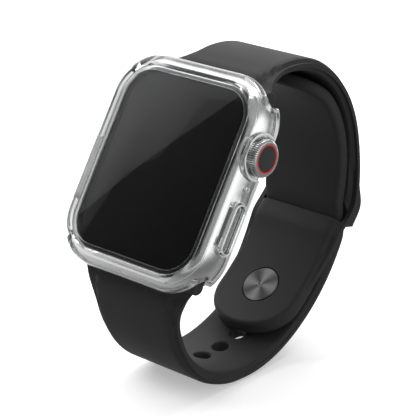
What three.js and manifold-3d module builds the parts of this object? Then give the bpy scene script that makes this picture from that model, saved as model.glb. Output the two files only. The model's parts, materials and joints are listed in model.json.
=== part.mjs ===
// Smartwatch with a clear push-fit screen protector and a pin-and-tuck elastomer band.
// Millimetres, +Z up. The watch stands on its closed band with the face turned up towards the viewer.
// The head is built in its own frame: +X to the crown, +Y to 12 o'clock, +Z out of the face.
import * as THREE from 'three';
import Module from 'manifold-3d';
import { mergeVertices } from 'three/addons/utils/BufferGeometryUtils.js';

const wasm = await Module();
wasm.setup();

// Pose: angle from lying face up to the stand on the band.
const HEAD_TILT = THREE.MathUtils.degToRad(57.6);

// Shared clearances and overruns.
const FIT_GAP = 0.3;
const SEAT_GAP = 0.1;
const CUT_OVERRUN = 1.5;

// Facet counts.
const CORNER_STEPS = 7;
const PROFILE_STEPS = 4;
const SMALL_SIDES = 16;
const ROUND_SIDES = 28;
const PILL_STEPS = 6;
const STRAP_STEP = 3.2;
const KEEPER_STEP = 1.1;
const LUG_STEP = 1.6;
const LOOP_DIVISIONS = 400;
const WELD_DISTANCE = 1e-4;

// Case body: outline at its widest girth, then levels measured from the head's datum plane.
const CASE_WIDTH = 38;
const CASE_LENGTH = 44;
const CASE_CORNER = 9.4;
const CASE_BACK = -0.6;
const GIRTH_LOW = 3.4;
const GIRTH_HIGH = 5.6;
const CASE_TOP = 8;
const CASE_TOP_INSET = 1.25;
const CASE_BACK_INSET = 2.4;

// Display stack.
const GLASS_TOP = 8.4;
const GLASS_THICKNESS = 0.95;
const GLASS_INSET = 1.95;
const GLASS_EDGE = 0.45;
const SEAT_DEPTH = 1;
const GASKET_THICKNESS = 0.35;
const GASKET_WIDTH = 1.2;
const PANEL_THICKNESS = 1;
const PANEL_WIDTH = 30.6;
const PANEL_LENGTH = 35.4;
const PANEL_CORNER = 6.4;

// Inside of the case.
const SIDE_WALL = 3.2;
const END_WALL = 5.6;
const CAVITY_CORNER = 5;
const CAVITY_FLOOR = 0.8;
const PANEL_POCKET_FLOOR = 6.25;
const BACK_LEDGE = 1.3;
const BACK_SIDE_MARGIN = 4.5;
const BACK_END_MARGIN = 6.1;
const BACK_SEAT_CORNER = 9;
const BACK_SEAT = 0.3;

// Back cover and optical sensor.
const COVER_RIM_DROP = 0.3;
const COVER_DOME_DROP = 0.6;
const COVER_DOME_INSET = 2.6;
const CRYSTAL_RADIUS = 8.2;
const CRYSTAL_DROP = 1.5;
const CRYSTAL_EDGE_DROP = 0.55;
const CRYSTAL_FLAT_RADIUS = 4.6;
const SENSOR_BOARD_RADIUS = 8.4;
const SENSOR_BOARD_THICKNESS = 0.45;
const COIL_WIDTH = 3.2;
const COIL_THICKNESS = 0.4;

// Electronics packed in the cavity: width, length and height with the corner nearest -X, -Y, -Z.
const BOARD_THICKNESS = 0.6;
const BOARD_MARGIN = 1.7;
const BOARD_LIFT = 0.35;
const CHIP_HEIGHT = 0.4;
const CHIP_SIDE = 7;
const CHIP_PITCH = 9;
const CELL_END_SPACE = 6.5;
const CELL_HEIGHT = 3.4;
const CELL_CORNER = 1.6;
const HAPTIC_WIDTH = 19;
const HAPTIC_LENGTH = 3.4;
const SPEAKER_WIDTH = 4.2;
const SPEAKER_LENGTH = 13;
const MIC_SIZE = 1.6;
const MODULE_GAP = 0.5;

// Crown on the +X side.
const CROWN_Y = 8.3;
const CROWN_Z = 5;
const CROWN_RADIUS = 3.9;
const CROWN_GAP = 0.45;
const CROWN_LENGTH = 2.5;
const CROWN_BEVEL = 0.3;
const CROWN_SHOULDER_LENGTH = 0.85;
const CROWN_SHOULDER_DROP = 0.65;
const SHOULDER_STEPS = 3;
const KNURL_COUNT = 30;
const KNURL_DEPTH = 0.2;
const KNURL_MARGIN = 0.45;
const RING_OUTER = 2.98;
const RING_INNER = 2.68;
const RING_DEPTH = 0.35;
const CAP_RADIUS = 2.36;
const CAP_THICKNESS = 0.45;
const SHAFT_RADIUS = 0.9;
const SHAFT_SPIGOT = 0.5;
const BUSH_WALL = 0.75;
const BUSH_RECESS = 0.25;
const SEAL_WALL = 0.45;
const SEAL_LENGTH = 0.7;
const THRUST_RADIUS = 1.2;
const THRUST_THICKNESS = 0.4;
const SWITCH_SIZE = 2.2;
const SWITCH_DEPTH = 0.9;
const SWITCH_GAP = 0.5;

// Side button below the crown.
const BUTTON_Y = -7.05;
const BUTTON_Z = 5.05;
const BUTTON_LENGTH = 10.4;
const BUTTON_WIDTH = 2.7;
const BUTTON_DEPTH = 1.3;
const BUTTON_RECESS_DEPTH = 1.75;
const BUTTON_STEM_RADIUS = 0.6;

// Air paths: microphone on the crown side, speaker slots on the other.
const MIC_HOLE_Y = 1.4;
const MIC_HOLE_RADIUS = 0.4;
const SPEAKER_SLOT_Y = -4;
const SPEAKER_SLOT_LENGTH = 5.4;
const SPEAKER_SLOT_WIDTH = 1;
const SPEAKER_SLOT_PITCH = 6.6;

// Band lug: a bead that slides across the case in a keyhole channel.
const BEAD_RADIUS = 1.65;
const BEAD_Y = 20;
const BEAD_Z = 4.06;
const LUG_WIDTH = 33.6;
const NECK_THICKNESS = 2;
const CATCH_RADIUS = 0.8;
const CATCH_DEPTH = 1;
const RELEASE_WALL = 1.05;
const RELEASE_LENGTH = 5;
const RELEASE_WIDTH = 1.7;
const RELEASE_DEPTH = 1.6;
const RELEASE_TRAVEL_ROOM = 0.8;

// Loop of the closed band, in the head's Y-Z plane: an oval with unequal upper and lower halves.
const LOOP_HALF_WIDTH = 34.5;
const LOOP_LOWER = 28;
const LOOP_UPPER = 26;
const LOOP_SHIFT = -1.5;
const LOOP_CENTRE = -17;
const LOOP_END_BLEND = 9;

// Straps.
const STRAP_THICKNESS = 2.9;
const STRAP_EDGE = 1;
const STRAP_EDGE_SHARE = 0.45;
const STRAP_WIDTH = 23.2;
const STRAP_TAIL_WIDTH = 21.2;
const STRAP_PIN_END_WIDTH = 21.6;
const PIN_END_THICKNESS = 3.6;
const NECK_LENGTH = 2.4;
const NECK_BLEND = 3.2;
const FLARE_LENGTH = 12;
const LUG_REACH = 6.4;
const LAYER_GAP = 0.5;
const PIN_END_GAP = 0.75;
const TAIL_LIFT = 0.6;
const TAIL_LIFT_START = 12;
const TAIL_REACH = 43.5;
const CROSSING_LENGTH = 10;
const KEEPER_SHARE = 0.567;
const KEEPER_BULGE = 1.3;
const KEEPER_LIP_UP = 8.6;
const KEEPER_LIP_DOWN = 1.7;
const KEEPER_LIP_EDGE = 0.4;
const SLOT_SIDE_GAP = 0.8;
const KEEPER_WEB = 1.1;
const KEEPER_LIP_PEAK_SHARE = 0.5;
const STUD_TO_KEEPER = 22.6;
const PIN_END_REACH = 13.2;
const STAND_FLAT = 0.35;

// Stud and its holes.
const STUD_DISC_RADIUS = 4.3;
const STUD_DISC_THICKNESS = 0.8;
const STUD_DISC_PROUD = 0.1;
const STUD_SHANK_RADIUS = 1.5;
const STUD_KNOB_RADIUS = 2.4;
const STUD_KNOB_THICKNESS = 1.1;
const STUD_SPIGOT_RADIUS = 0.9;
const HOLE_RADIUS = 1.9;
const HOLE_PITCH = 6.2;
const HOLES_TO_LUG = 4;
const HOLES_TO_TAIL = 2;

// Protector.
const BUMPER_WIDTH = 40.4;
const BUMPER_LENGTH = 46.5;
const BUMPER_CORNER = 10.2;
const BUMPER_BOTTOM = 2.1;
const BUMPER_SHOULDER = 6.6;
const BUMPER_CREST = 9.7;
const BUMPER_CREST_INSET = 2.75;
const BUMPER_FOOT_ROUND = 0.35;
const LIP_WIDTH = 1;
const LIP_DROP = 0.2;
const LIP_THICKNESS = 0.25;
const PANE_THICKNESS = 0.35;
const PANE_MARGIN = 0.9;
const BOND_THICKNESS = 0.12;
const BOND_GAP = 0.04;
const STRAP_CUT_TOP = 6.3;
const STRAP_CUT_ROUND = 2;
const STRAP_HOOK_END = 1;
const CROWN_PORT_GAP = 0.35;
const CROWN_PORT_DEPTH = 1.5;
const COLLAR_WALL = 0.65;
const COLLAR_FLARE = 0.25;
const COLLAR_HEIGHT = 0.1;
const COLLAR_DEPTH = 1.9;
const COLLAR_ROOT = 0.8;
const COVER_LENGTH = 11.1;
const COVER_WIDTH = 3.9;
const COVER_PROUD = 0.45;
const COVER_BEVEL = 0.3;
const BUMPER_MIC_RADIUS = 0.55;
const BUMPER_SPEAKER_LENGTH = 14;
const BUMPER_SPEAKER_WIDTH = 2.2;

// Turns a closed geometry into a solid that can be cut and joined.
function solid(geometry) {
  const bare = geometry.clone();
  bare.deleteAttribute('normal');
  bare.deleteAttribute('uv');
  const merged = mergeVertices(bare, WELD_DISTANCE);
  return new wasm.Manifold(new wasm.Mesh({
    numProp: 3,
    vertProperties: Float32Array.from(merged.attributes.position.array),
    triVerts: Uint32Array.from(merged.index.array),
  }));
}

// Turns a solid back into a geometry.
function geometryOf(body) {
  const mesh = body.getMesh();
  const geometry = new THREE.BufferGeometry();
  geometry.setAttribute('position', new THREE.BufferAttribute(Float32Array.from(mesh.vertProperties), 3));
  geometry.setIndex(new THREE.BufferAttribute(Uint32Array.from(mesh.triVerts), 1));
  geometry.computeVertexNormals();
  return geometry;
}

// Cuts a list of geometries from a body.
function cutAll(body, cutters) {
  return cutters.reduce((rest, cutter) => rest.subtract(solid(cutter)), body);
}

// A named piece with its own material.
function piece(name, geometry, material) {
  const mesh = new THREE.Mesh(geometry, material);
  mesh.name = name;
  return mesh;
}

// Eases from 0 to 1.
function ease(share) {
  return THREE.MathUtils.smoothstep(share, 0, 1);
}

// Rounded rectangle around the origin, counterclockwise.
function roundedOutline(width, length, corner, steps = CORNER_STEPS) {
  const points = [];
  const radius = Math.min(corner, width / 2, length / 2);
  const centres = [[1, 1], [-1, 1], [-1, -1], [1, -1]];
  centres.forEach(([sx, sy], quarter) => {
    for (let i = 0; i <= steps; i += 1) {
      const angle = (quarter + i / steps) * Math.PI / 2;
      const x = sx * (width / 2 - radius) + radius * Math.cos(angle);
      const y = sy * (length / 2 - radius) + radius * Math.sin(angle);
      points.push(new THREE.Vector2(x, y));
    }
  });
  return points;
}

// One ring of a loft: a rounded rectangle at a height, drawn in from a reference outline.
function levelRing(width, length, corner, inset, z) {
  const outline = roundedOutline(width - 2 * inset, length - 2 * inset, corner - inset);
  return outline.map((point) => new THREE.Vector3(point.x, point.y, z));
}

// Skins rings of equal counts. A closed chain becomes a hollow frame, an open one gets flat caps.
function skin(rings, closedChain = false) {
  const count = rings[0].length;
  const positions = rings.flat().flatMap((point) => [point.x, point.y, point.z]);
  const indices = [];
  const spans = closedChain ? rings.length : rings.length - 1;
  for (let r = 0; r < spans; r += 1) {
    const low = r * count;
    const high = ((r + 1) % rings.length) * count;
    for (let i = 0; i < count; i += 1) {
      const next = (i + 1) % count;
      indices.push(low + i, low + next, high + next, low + i, high + next, high + i);
    }
  }
  if (!closedChain) {
    const last = (rings.length - 1) * count;
    for (let i = 1; i < count - 1; i += 1) {
      indices.push(0, i + 1, i, last, last + i, last + i + 1);
    }
  }
  const geometry = new THREE.BufferGeometry();
  geometry.setAttribute('position', new THREE.Float32BufferAttribute(positions, 3));
  geometry.setIndex(indices);
  return geometry;
}

// Flat plate with a rounded-rectangle outline between two heights.
function plate(width, length, corner, low, high) {
  return skin([levelRing(width, length, corner, 0, low), levelRing(width, length, corner, 0, high)]);
}

// Box placed by its lower corner.
function boxFrom(x, y, z, width, length, height) {
  const geometry = new THREE.BoxGeometry(width, length, height);
  geometry.translate(x + width / 2, y + length / 2, z + height / 2);
  return geometry;
}

// Turned part along +X from a profile of [radius, x] pairs that starts and ends on the axis or closes.
function turnedX(profile, y, z, sides = ROUND_SIDES) {
  const geometry = new THREE.LatheGeometry(profile.map(([r, x]) => new THREE.Vector2(r, x)), sides);
  geometry.rotateZ(-Math.PI / 2);
  geometry.translate(0, y, z);
  return geometry;
}

// Plain cylinder along X between two places.
function rodX(radius, from, to, y, z, sides = SMALL_SIDES) {
  return turnedX([[0, from], [radius, from], [radius, to], [0, to]], y, z, sides);
}

// Ring along X with a bore.
function ringX(inner, outer, from, to, y, z, sides = SMALL_SIDES) {
  const profile = [[inner, from], [outer, from], [outer, to], [inner, to], [inner, from]];
  return turnedX(profile, y, z, sides);
}

// Turned part along +Z from a profile of [radius, z] pairs.
function turnedZ(profile, sides = ROUND_SIDES) {
  const geometry = new THREE.LatheGeometry(profile.map(([r, z]) => new THREE.Vector2(r, z)), sides);
  geometry.rotateX(Math.PI / 2);
  return geometry;
}

// Pill outline, long in the first direction.
function pillShape(length, width) {
  const shape = new THREE.Shape();
  const reach = (length - width) / 2;
  shape.absarc(reach, 0, width / 2, -Math.PI / 2, Math.PI / 2, false);
  shape.absarc(-reach, 0, width / 2, Math.PI / 2, 3 * Math.PI / 2, false);
  return shape;
}

// Pill standing out along +X between two places, long in Y, with an optional bevel at the outer end.
function pillX(length, width, from, to, y, z, bevel = 0) {
  const geometry = new THREE.ExtrudeGeometry(pillShape(length - 2 * bevel, width - 2 * bevel), {
    depth: to - from - 2 * bevel,
    curveSegments: PILL_STEPS,
    bevelEnabled: bevel > 0,
    bevelThickness: bevel,
    bevelSize: bevel,
    bevelSegments: 1,
  });
  geometry.translate(0, 0, from + bevel);
  geometry.rotateX(Math.PI / 2);
  geometry.rotateZ(Math.PI / 2);
  geometry.translate(0, y, z);
  return geometry;
}

// Pill standing along Z between two heights, long in X.
function pillZ(length, width, low, high, y) {
  const geometry = new THREE.ExtrudeGeometry(pillShape(length, width), {
    depth: high - low,
    curveSegments: PILL_STEPS,
    bevelEnabled: false,
  });
  geometry.translate(0, y, low);
  return geometry;
}

// Finishes seen on the object.
const finish = {
  aluminium: () => new THREE.MeshStandardMaterial({ color: 0xc8cacd, roughness: 0.28, metalness: 1 }),
  steel: () => new THREE.MeshStandardMaterial({ color: 0x9a9a9a, roughness: 0.35, metalness: 1 }),
  clear: () => new THREE.MeshStandardMaterial({
    color: 0xf2f5f6, roughness: 0.06, metalness: 0, transparent: true, opacity: 0.35,
  }),
  glass: () => new THREE.MeshStandardMaterial({ color: 0x0b0b0c, roughness: 0.05, metalness: 0 }),
  dark: () => new THREE.MeshStandardMaterial({ color: 0x1c1c1e, roughness: 0.45, metalness: 0 }),
  ceramic: () => new THREE.MeshStandardMaterial({ color: 0x2a2a2c, roughness: 0.2, metalness: 0 }),
  elastomer: () => new THREE.MeshStandardMaterial({ color: 0x2f2e2e, roughness: 0.75, metalness: 0 }),
  board: () => new THREE.MeshStandardMaterial({ color: 0x15382a, roughness: 0.6, metalness: 0 }),
  cell: () => new THREE.MeshStandardMaterial({ color: 0x4a4b4e, roughness: 0.6, metalness: 0.1 }),
  copper: () => new THREE.MeshStandardMaterial({ color: 0xb4713a, roughness: 0.4, metalness: 1 }),
  orange: () => new THREE.MeshStandardMaterial({ color: 0xd8402c, roughness: 0.35, metalness: 0 }),
  brass: () => new THREE.MeshStandardMaterial({ color: 0xb59a5b, roughness: 0.35, metalness: 1 }),
};

// Places that several pieces share.
const caseSide = CASE_WIDTH / 2;
const bumperSide = BUMPER_WIDTH / 2;
const glassBottom = GLASS_TOP - GLASS_THICKNESS;
const seatFloor = CASE_TOP - SEAT_DEPTH;
const seatWidth = CASE_WIDTH - 2 * GLASS_INSET + FIT_GAP;
const seatLength = CASE_LENGTH - 2 * GLASS_INSET + FIT_GAP;
const seatCorner = CASE_CORNER - GLASS_INSET;
const coverTop = BACK_SEAT - SEAT_GAP;
const crownBack = caseSide + CROWN_GAP;
const crownFace = crownBack + CROWN_LENGTH;
const crownPortRadius = CROWN_RADIUS + CROWN_PORT_GAP;
const boreRadius = SHAFT_RADIUS + FIT_GAP + BUSH_WALL + SEAT_GAP;
const cavityWidth = CASE_WIDTH - 2 * SIDE_WALL;
const cavityLength = CASE_LENGTH - 2 * END_WALL;
const cavitySide = cavityWidth / 2;
const backSeatWidth = CASE_WIDTH - 2 * BACK_SIDE_MARGIN;
const backSeatLength = CASE_LENGTH - 2 * BACK_END_MARGIN;
const releaseY = (backSeatLength + RELEASE_WIDTH) / 2 + RELEASE_WALL;
const cellWidth = cavityWidth - 2 * (SPEAKER_WIDTH + 2 * MODULE_GAP);
const hapticEnd = MODULE_GAP + HAPTIC_LENGTH - cavityLength / 2;
const cellEnd = cavityLength / 2 - MODULE_GAP - CELL_END_SPACE;
const cellLength = cellEnd - hapticEnd - FIT_GAP;
const keeperWidth = STRAP_TAIL_WIDTH + 2 * (SLOT_SIDE_GAP + KEEPER_WEB);
const channelRadius = BEAD_RADIUS + FIT_GAP;
const bushOuterEnd = caseSide - BUSH_RECESS;
const thrustFace = cavitySide - MODULE_GAP;
const boardTop = CAVITY_FLOOR + BOARD_LIFT + BOARD_THICKNESS;
const moduleFloor = boardTop + CHIP_HEIGHT + SEAT_GAP;

// Outer skin of the case: straight girth with rounded shoulders and back.
function caseEnvelope() {
  const rings = [];
  for (let i = PROFILE_STEPS; i >= 0; i -= 1) {
    const angle = (i / PROFILE_STEPS) * Math.PI / 2;
    const inset = CASE_BACK_INSET * (1 - Math.cos(angle));
    const z = GIRTH_LOW - (GIRTH_LOW - CASE_BACK) * Math.sin(angle);
    rings.push(levelRing(CASE_WIDTH, CASE_LENGTH, CASE_CORNER, inset, z));
  }
  for (let i = 0; i <= PROFILE_STEPS; i += 1) {
    const angle = (i / PROFILE_STEPS) * Math.PI / 2;
    const inset = CASE_TOP_INSET * (1 - Math.cos(angle));
    const z = GIRTH_HIGH + (CASE_TOP - GIRTH_HIGH) * Math.sin(angle);
    rings.push(levelRing(CASE_WIDTH, CASE_LENGTH, CASE_CORNER, inset, z));
  }
  return skin(rings);
}

// Closed band loop as a curve in the head's Y-Z plane, from the 6 o'clock bead to the 12 o'clock bead.
class BandLoop extends THREE.Curve {
  constructor() {
    super();
    const startReach = (-BEAD_Y - LOOP_SHIFT) / LOOP_HALF_WIDTH;
    const endReach = (BEAD_Y - LOOP_SHIFT) / LOOP_HALF_WIDTH;
    this.start = Math.acos(startReach);
    this.end = 2 * Math.PI + Math.acos(endReach);
    this.arcLengthDivisions = LOOP_DIVISIONS;
    this.startLift = BEAD_Z - this.oval(this.start).y;
    this.endLift = BEAD_Z - this.oval(this.end).y;
    this.endShare = LOOP_END_BLEND / (LOOP_HALF_WIDTH * (this.end - this.start));
  }

  oval(angle) {
    const rise = Math.sin(angle) > 0 ? LOOP_UPPER : LOOP_LOWER;
    const y = LOOP_SHIFT + LOOP_HALF_WIDTH * Math.cos(angle);
    return new THREE.Vector2(y, LOOP_CENTRE + rise * Math.sin(angle));
  }

  getPoint(t, target = new THREE.Vector2()) {
    target.copy(this.oval(this.start + (this.end - this.start) * t));
    target.y += this.startLift * ease(1 - t / this.endShare);
    target.y += this.endLift * ease(1 - (1 - t) / this.endShare);
    return target;
  }
}

const loop = new BandLoop();
const loopLength = loop.getLength();
const keeperPlace = loopLength * KEEPER_SHARE;
const studPlace = keeperPlace - STUD_TO_KEEPER;
const pinEndPlace = studPlace - PIN_END_REACH;
const tailPlace = keeperPlace + TAIL_REACH;
const lipPlace = keeperPlace - KEEPER_LIP_DOWN;
const layerPitch = STRAP_THICKNESS + LAYER_GAP;

// Frame of the loop at a distance from the 6 o'clock bead: centre, outward normal and direction.
function loopFrame(distance) {
  const share = THREE.MathUtils.clamp(distance / loopLength, 0, 1);
  const centre = loop.getPointAt(share);
  const along = loop.getTangentAt(share);
  const outward = new THREE.Vector2(along.y, -along.x);
  return { centre, along, outward };
}

// How far the crossing has gone at a distance: 0 below the keeper and 1 above it.
function crossing(distance) {
  return ease((distance - keeperPlace) / CROSSING_LENGTH + 1 / 2);
}

// Offset of the long strap from the loop: outside below the keeper, tucked inside above it.
function longStrapOffset(distance) {
  const tail = ease((distance - keeperPlace - TAIL_LIFT_START) / (TAIL_REACH - TAIL_LIFT_START));
  return -crossing(distance) * (layerPitch + TAIL_LIFT * tail);
}

// How far the pin strap has reached its thicker end: 0 at the keeper and 1 at the stud.
function pinEndShare(distance) {
  return ease((keeperPlace - distance) / STUD_TO_KEEPER);
}

// Offset of the pin strap: outside above the keeper, inside below it.
function pinStrapOffset(distance) {
  const endPitch = (STRAP_THICKNESS + PIN_END_THICKNESS) / 2 + PIN_END_GAP;
  return -(1 - crossing(distance)) * THREE.MathUtils.lerp(layerPitch, endPitch, pinEndShare(distance));
}

// Inner face of the pin strap, with its thin neck at the lug and its thicker end at the stud.
function pinStrapInner(distance) {
  return pinStrapOffset(distance) - pinStrapLayer(distance) / 2;
}

function pinStrapLayer(distance) {
  const grown = (PIN_END_THICKNESS - STRAP_THICKNESS) * pinEndShare(distance);
  return neckThickness(loopLength - distance) + grown;
}

// Swelling of the keeper's lip: 0 at both ends and 1 at its peak.
function lipSwell(distance) {
  const share = (distance - lipPlace) / (KEEPER_LIP_DOWN + KEEPER_LIP_UP);
  return share < KEEPER_LIP_PEAK_SHARE
    ? ease(share / KEEPER_LIP_PEAK_SHARE)
    : ease((1 - share) / (1 - KEEPER_LIP_PEAK_SHARE));
}

// Outer face of the pin strap: the lip stays outside the holed strap down to its end, then drops inside.
function pinStrapOuter(distance) {
  const layer = pinStrapLayer(distance) / 2;
  const lip = layer + KEEPER_BULGE * lipSwell(distance);
  const own = pinStrapOffset(distance) + layer;
  return THREE.MathUtils.lerp(own, lip, THREE.MathUtils.clamp((distance - lipPlace) / KEEPER_LIP_EDGE, 0, 1));
}

function pinStrapThickness(distance) {
  return pinStrapOuter(distance) - pinStrapInner(distance);
}

function pinStrapMiddle(distance) {
  return (pinStrapOuter(distance) + pinStrapInner(distance)) / 2;
}

// Thickness near a lug: a thin neck in the channel that grows to the full strap.
function neckThickness(fromLug) {
  return THREE.MathUtils.lerp(NECK_THICKNESS, STRAP_THICKNESS, ease((fromLug - NECK_LENGTH) / NECK_BLEND));
}

// Half width near a lug: the lug's own width falls away in a concave flare.
function flareHalfWidth(fromLug, strapWidth) {
  const left = Math.max(0, 1 - fromLug / FLARE_LENGTH);
  return strapWidth / 2 + (LUG_WIDTH - strapWidth) / 2 * left ** 2;
}

// Half width of a round strap end.
function roundEnd(halfWidth, fromEnd) {
  const left = Math.max(0, halfWidth - fromEnd);
  return Math.sqrt(Math.max(0, halfWidth ** 2 - left ** 2));
}

function longStrapHalfWidth(distance) {
  const taper = ease(distance / keeperPlace);
  const width = THREE.MathUtils.lerp(STRAP_WIDTH, STRAP_TAIL_WIDTH, taper);
  return roundEnd(flareHalfWidth(distance, width), tailPlace - distance);
}

function pinStrapHalfWidth(distance) {
  const fromLug = loopLength - distance;
  const keeper = ease(1 - Math.abs(distance - keeperPlace) / (2 * CROSSING_LENGTH));
  const width = THREE.MathUtils.lerp(STRAP_WIDTH, STRAP_PIN_END_WIDTH, pinEndShare(distance));
  const wide = THREE.MathUtils.lerp(width, keeperWidth, keeper);
  return roundEnd(flareHalfWidth(fromLug, wide), distance - pinEndPlace);
}

// Step between two sections of a strap: short near the keeper and near a lug.
function stepAt(place) {
  if (Math.abs(place - keeperPlace) < CROSSING_LENGTH) {
    return KEEPER_STEP;
  }
  const fromLug = Math.min(place, loopLength - place - STRAP_STEP);
  return fromLug < FLARE_LENGTH ? LUG_STEP : STRAP_STEP;
}

// Distances for the sections of a strap, with a closer set at its round end.
function stations(from, to, endAt, endHalfWidth) {
  const places = [];
  let place = from;
  while (place < to) {
    places.push(place);
    place += stepAt(place);
  }
  const sign = endAt === from ? 1 : -1;
  const kept = places.filter((value) => Math.abs(value - endAt) > endHalfWidth);
  for (let i = 1; i <= PILL_STEPS; i += 1) {
    const angle = (i / PILL_STEPS) * Math.PI / 2;
    kept.push(endAt + sign * endHalfWidth * (1 - Math.cos(angle)));
  }
  const far = endAt === from ? to : from;
  kept.push(far);
  return [...new Set(kept)].sort((a, b) => a - b);
}

// Section of a strap across the loop: a rounded rectangle on the local normal.
function strapSection(distance, halfWidth, thickness, offset, grow) {
  const { centre, outward } = loopFrame(distance);
  const tall = thickness + 2 * grow;
  const edge = Math.min(STRAP_EDGE, tall * STRAP_EDGE_SHARE);
  return roundedOutline(2 * (halfWidth + grow), tall, edge, 2).map((point) => new THREE.Vector3(
    point.x,
    centre.x + outward.x * (offset + point.y),
    centre.y + outward.y * (offset + point.y),
  ));
}

// Strap skinned through its sections.
function strapBody(places, halfWidthAt, thicknessAt, offsetAt, grow = 0) {
  const rings = places.map((place) => strapSection(
    place, halfWidthAt(place), thicknessAt(place), offsetAt(place), grow,
  ));
  return skin(rings);
}

// Bead that holds a strap in its channel, on the given side of the case.
function lugBead(side) {
  const bevel = BEAD_RADIUS / 4;
  const half = LUG_WIDTH / 2;
  const profile = [
    [0, -half], [BEAD_RADIUS - bevel, -half], [BEAD_RADIUS, bevel - half],
    [BEAD_RADIUS, half - bevel], [BEAD_RADIUS - bevel, half], [0, half],
  ];
  return turnedX(profile, side * BEAD_Y, BEAD_Z, SMALL_SIDES);
}

// Pocket or filling of the metal catch under a bead.
function catchPlug(side, radius, low, high) {
  const geometry = turnedZ([[0, low], [radius, low], [radius, high], [0, high]], SMALL_SIDES);
  geometry.translate(0, side * BEAD_Y, 0);
  return geometry;
}

const catchTop = BEAD_Z - BEAD_RADIUS + CATCH_DEPTH;

function catchPocket(side) {
  return catchPlug(side, CATCH_RADIUS + SEAT_GAP, BEAD_Z - BEAD_RADIUS - CUT_OVERRUN, catchTop + SEAT_GAP);
}

function catchPin(side) {
  return catchPlug(side, CATCH_RADIUS, BEAD_Z - BEAD_RADIUS + SEAT_GAP, catchTop);
}

// Turned part standing on the loop: its axis is the outward normal at a distance from the lug.
function turnedOnLoop(profile, distance, sides = ROUND_SIDES) {
  const { centre, outward } = loopFrame(distance);
  const geometry = turnedZ(profile, sides);
  geometry.rotateX(Math.atan2(-outward.x, outward.y));
  geometry.translate(0, centre.x, centre.y);
  return geometry;
}

function drillOnLoop(radius, distance, low, high) {
  return turnedOnLoop([[0, low], [radius, low], [radius, high], [0, high]], distance, SMALL_SIDES);
}

// Level of the ground under the standing loop, in the frame after the tilt.
function groundLevel() {
  let lowest = Infinity;
  for (let distance = 0; distance < loopLength; distance += KEEPER_STEP / 4) {
    const { centre, outward } = loopFrame(distance);
    const y = centre.x + outward.x * STRAP_THICKNESS / 2;
    const z = centre.y + outward.y * STRAP_THICKNESS / 2;
    lowest = Math.min(lowest, y * Math.sin(HEAD_TILT) + z * Math.cos(HEAD_TILT));
  }
  return lowest + STAND_FLAT;
}

// Block below the ground, turned into the head's frame, that flattens the loop where it stands.
function groundBlock() {
  const reach = 2 * LOOP_HALF_WIDTH;
  const block = boxFrom(-reach / 2, -reach / 2, groundLevel() - reach, reach, reach, reach);
  block.rotateX(-HEAD_TILT);
  return block;
}

const studDiscFloor = pinStrapInner(studPlace) + STUD_DISC_THICKNESS - STUD_DISC_PROUD;
const studKnobFloor = longStrapOffset(studPlace) + STRAP_THICKNESS / 2 + FIT_GAP;

// Straps and stud.
function holeStrapGeometry() {
  const places = stations(0, tailPlace, tailPlace, STRAP_TAIL_WIDTH / 2);
  const lastPlace = tailPlace - STRAP_TAIL_WIDTH / 2 * (1 - Math.cos(Math.PI / 2 / PILL_STEPS));
  const used = places.filter((place) => place <= lastPlace);
  let body = solid(strapBody(used, longStrapHalfWidth, neckThickness, longStrapOffset));
  body = body.add(solid(lugBead(-1)));
  const cutters = [catchPocket(-1), groundBlock()];
  for (let i = -HOLES_TO_LUG; i <= HOLES_TO_TAIL; i += 1) {
    const place = studPlace + i * HOLE_PITCH;
    const offset = longStrapOffset(place);
    cutters.push(drillOnLoop(HOLE_RADIUS, place, offset - STRAP_THICKNESS, offset + STRAP_THICKNESS));
  }
  return geometryOf(cutAll(body, cutters));
}

function pinStrapGeometry() {
  const places = stations(pinEndPlace, loopLength, pinEndPlace, STRAP_PIN_END_WIDTH / 2);
  const firstPlace = pinEndPlace + STRAP_PIN_END_WIDTH / 2 * (1 - Math.cos(Math.PI / 2 / PILL_STEPS));
  const used = places.filter((place) => place >= firstPlace && Math.abs(place - lipPlace) > KEEPER_LIP_EDGE);
  used.push(lipPlace, lipPlace + KEEPER_LIP_EDGE);
  used.sort((a, b) => a - b);
  let body = solid(strapBody(used, pinStrapHalfWidth, pinStrapThickness, pinStrapMiddle));
  body = body.add(solid(lugBead(1)));
  const passage = [];
  const passageEnd = keeperPlace + 2 * CROSSING_LENGTH;
  for (let place = keeperPlace - 2 * CROSSING_LENGTH; place < passageEnd; place += KEEPER_STEP) {
    passage.push(place);
  }
  const slotHalfWidth = (place) => longStrapHalfWidth(place) + SLOT_SIDE_GAP - FIT_GAP;
  const cutters = [
    strapBody(passage, slotHalfWidth, neckThickness, longStrapOffset, FIT_GAP),
    catchPocket(1),
    drillOnLoop(STUD_DISC_RADIUS + SEAT_GAP, studPlace, studDiscFloor - PIN_END_THICKNESS,
      studDiscFloor + SEAT_GAP),
    drillOnLoop(STUD_SHANK_RADIUS + SEAT_GAP, studPlace, studDiscFloor, studDiscFloor + PIN_END_THICKNESS),
  ];
  return geometryOf(cutAll(body, cutters));
}

function studGeometry() {
  const discTop = studDiscFloor - STUD_DISC_THICKNESS;
  const neckTop = studKnobFloor - SEAT_GAP;
  const spigotTop = studKnobFloor + STUD_KNOB_THICKNESS / 2;
  return turnedOnLoop([
    [0, discTop], [STUD_DISC_RADIUS, discTop], [STUD_DISC_RADIUS, studDiscFloor],
    [STUD_SHANK_RADIUS, studDiscFloor], [STUD_SHANK_RADIUS, neckTop],
    [STUD_SPIGOT_RADIUS, neckTop], [STUD_SPIGOT_RADIUS, spigotTop], [0, spigotTop],
  ], studPlace);
}

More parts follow.
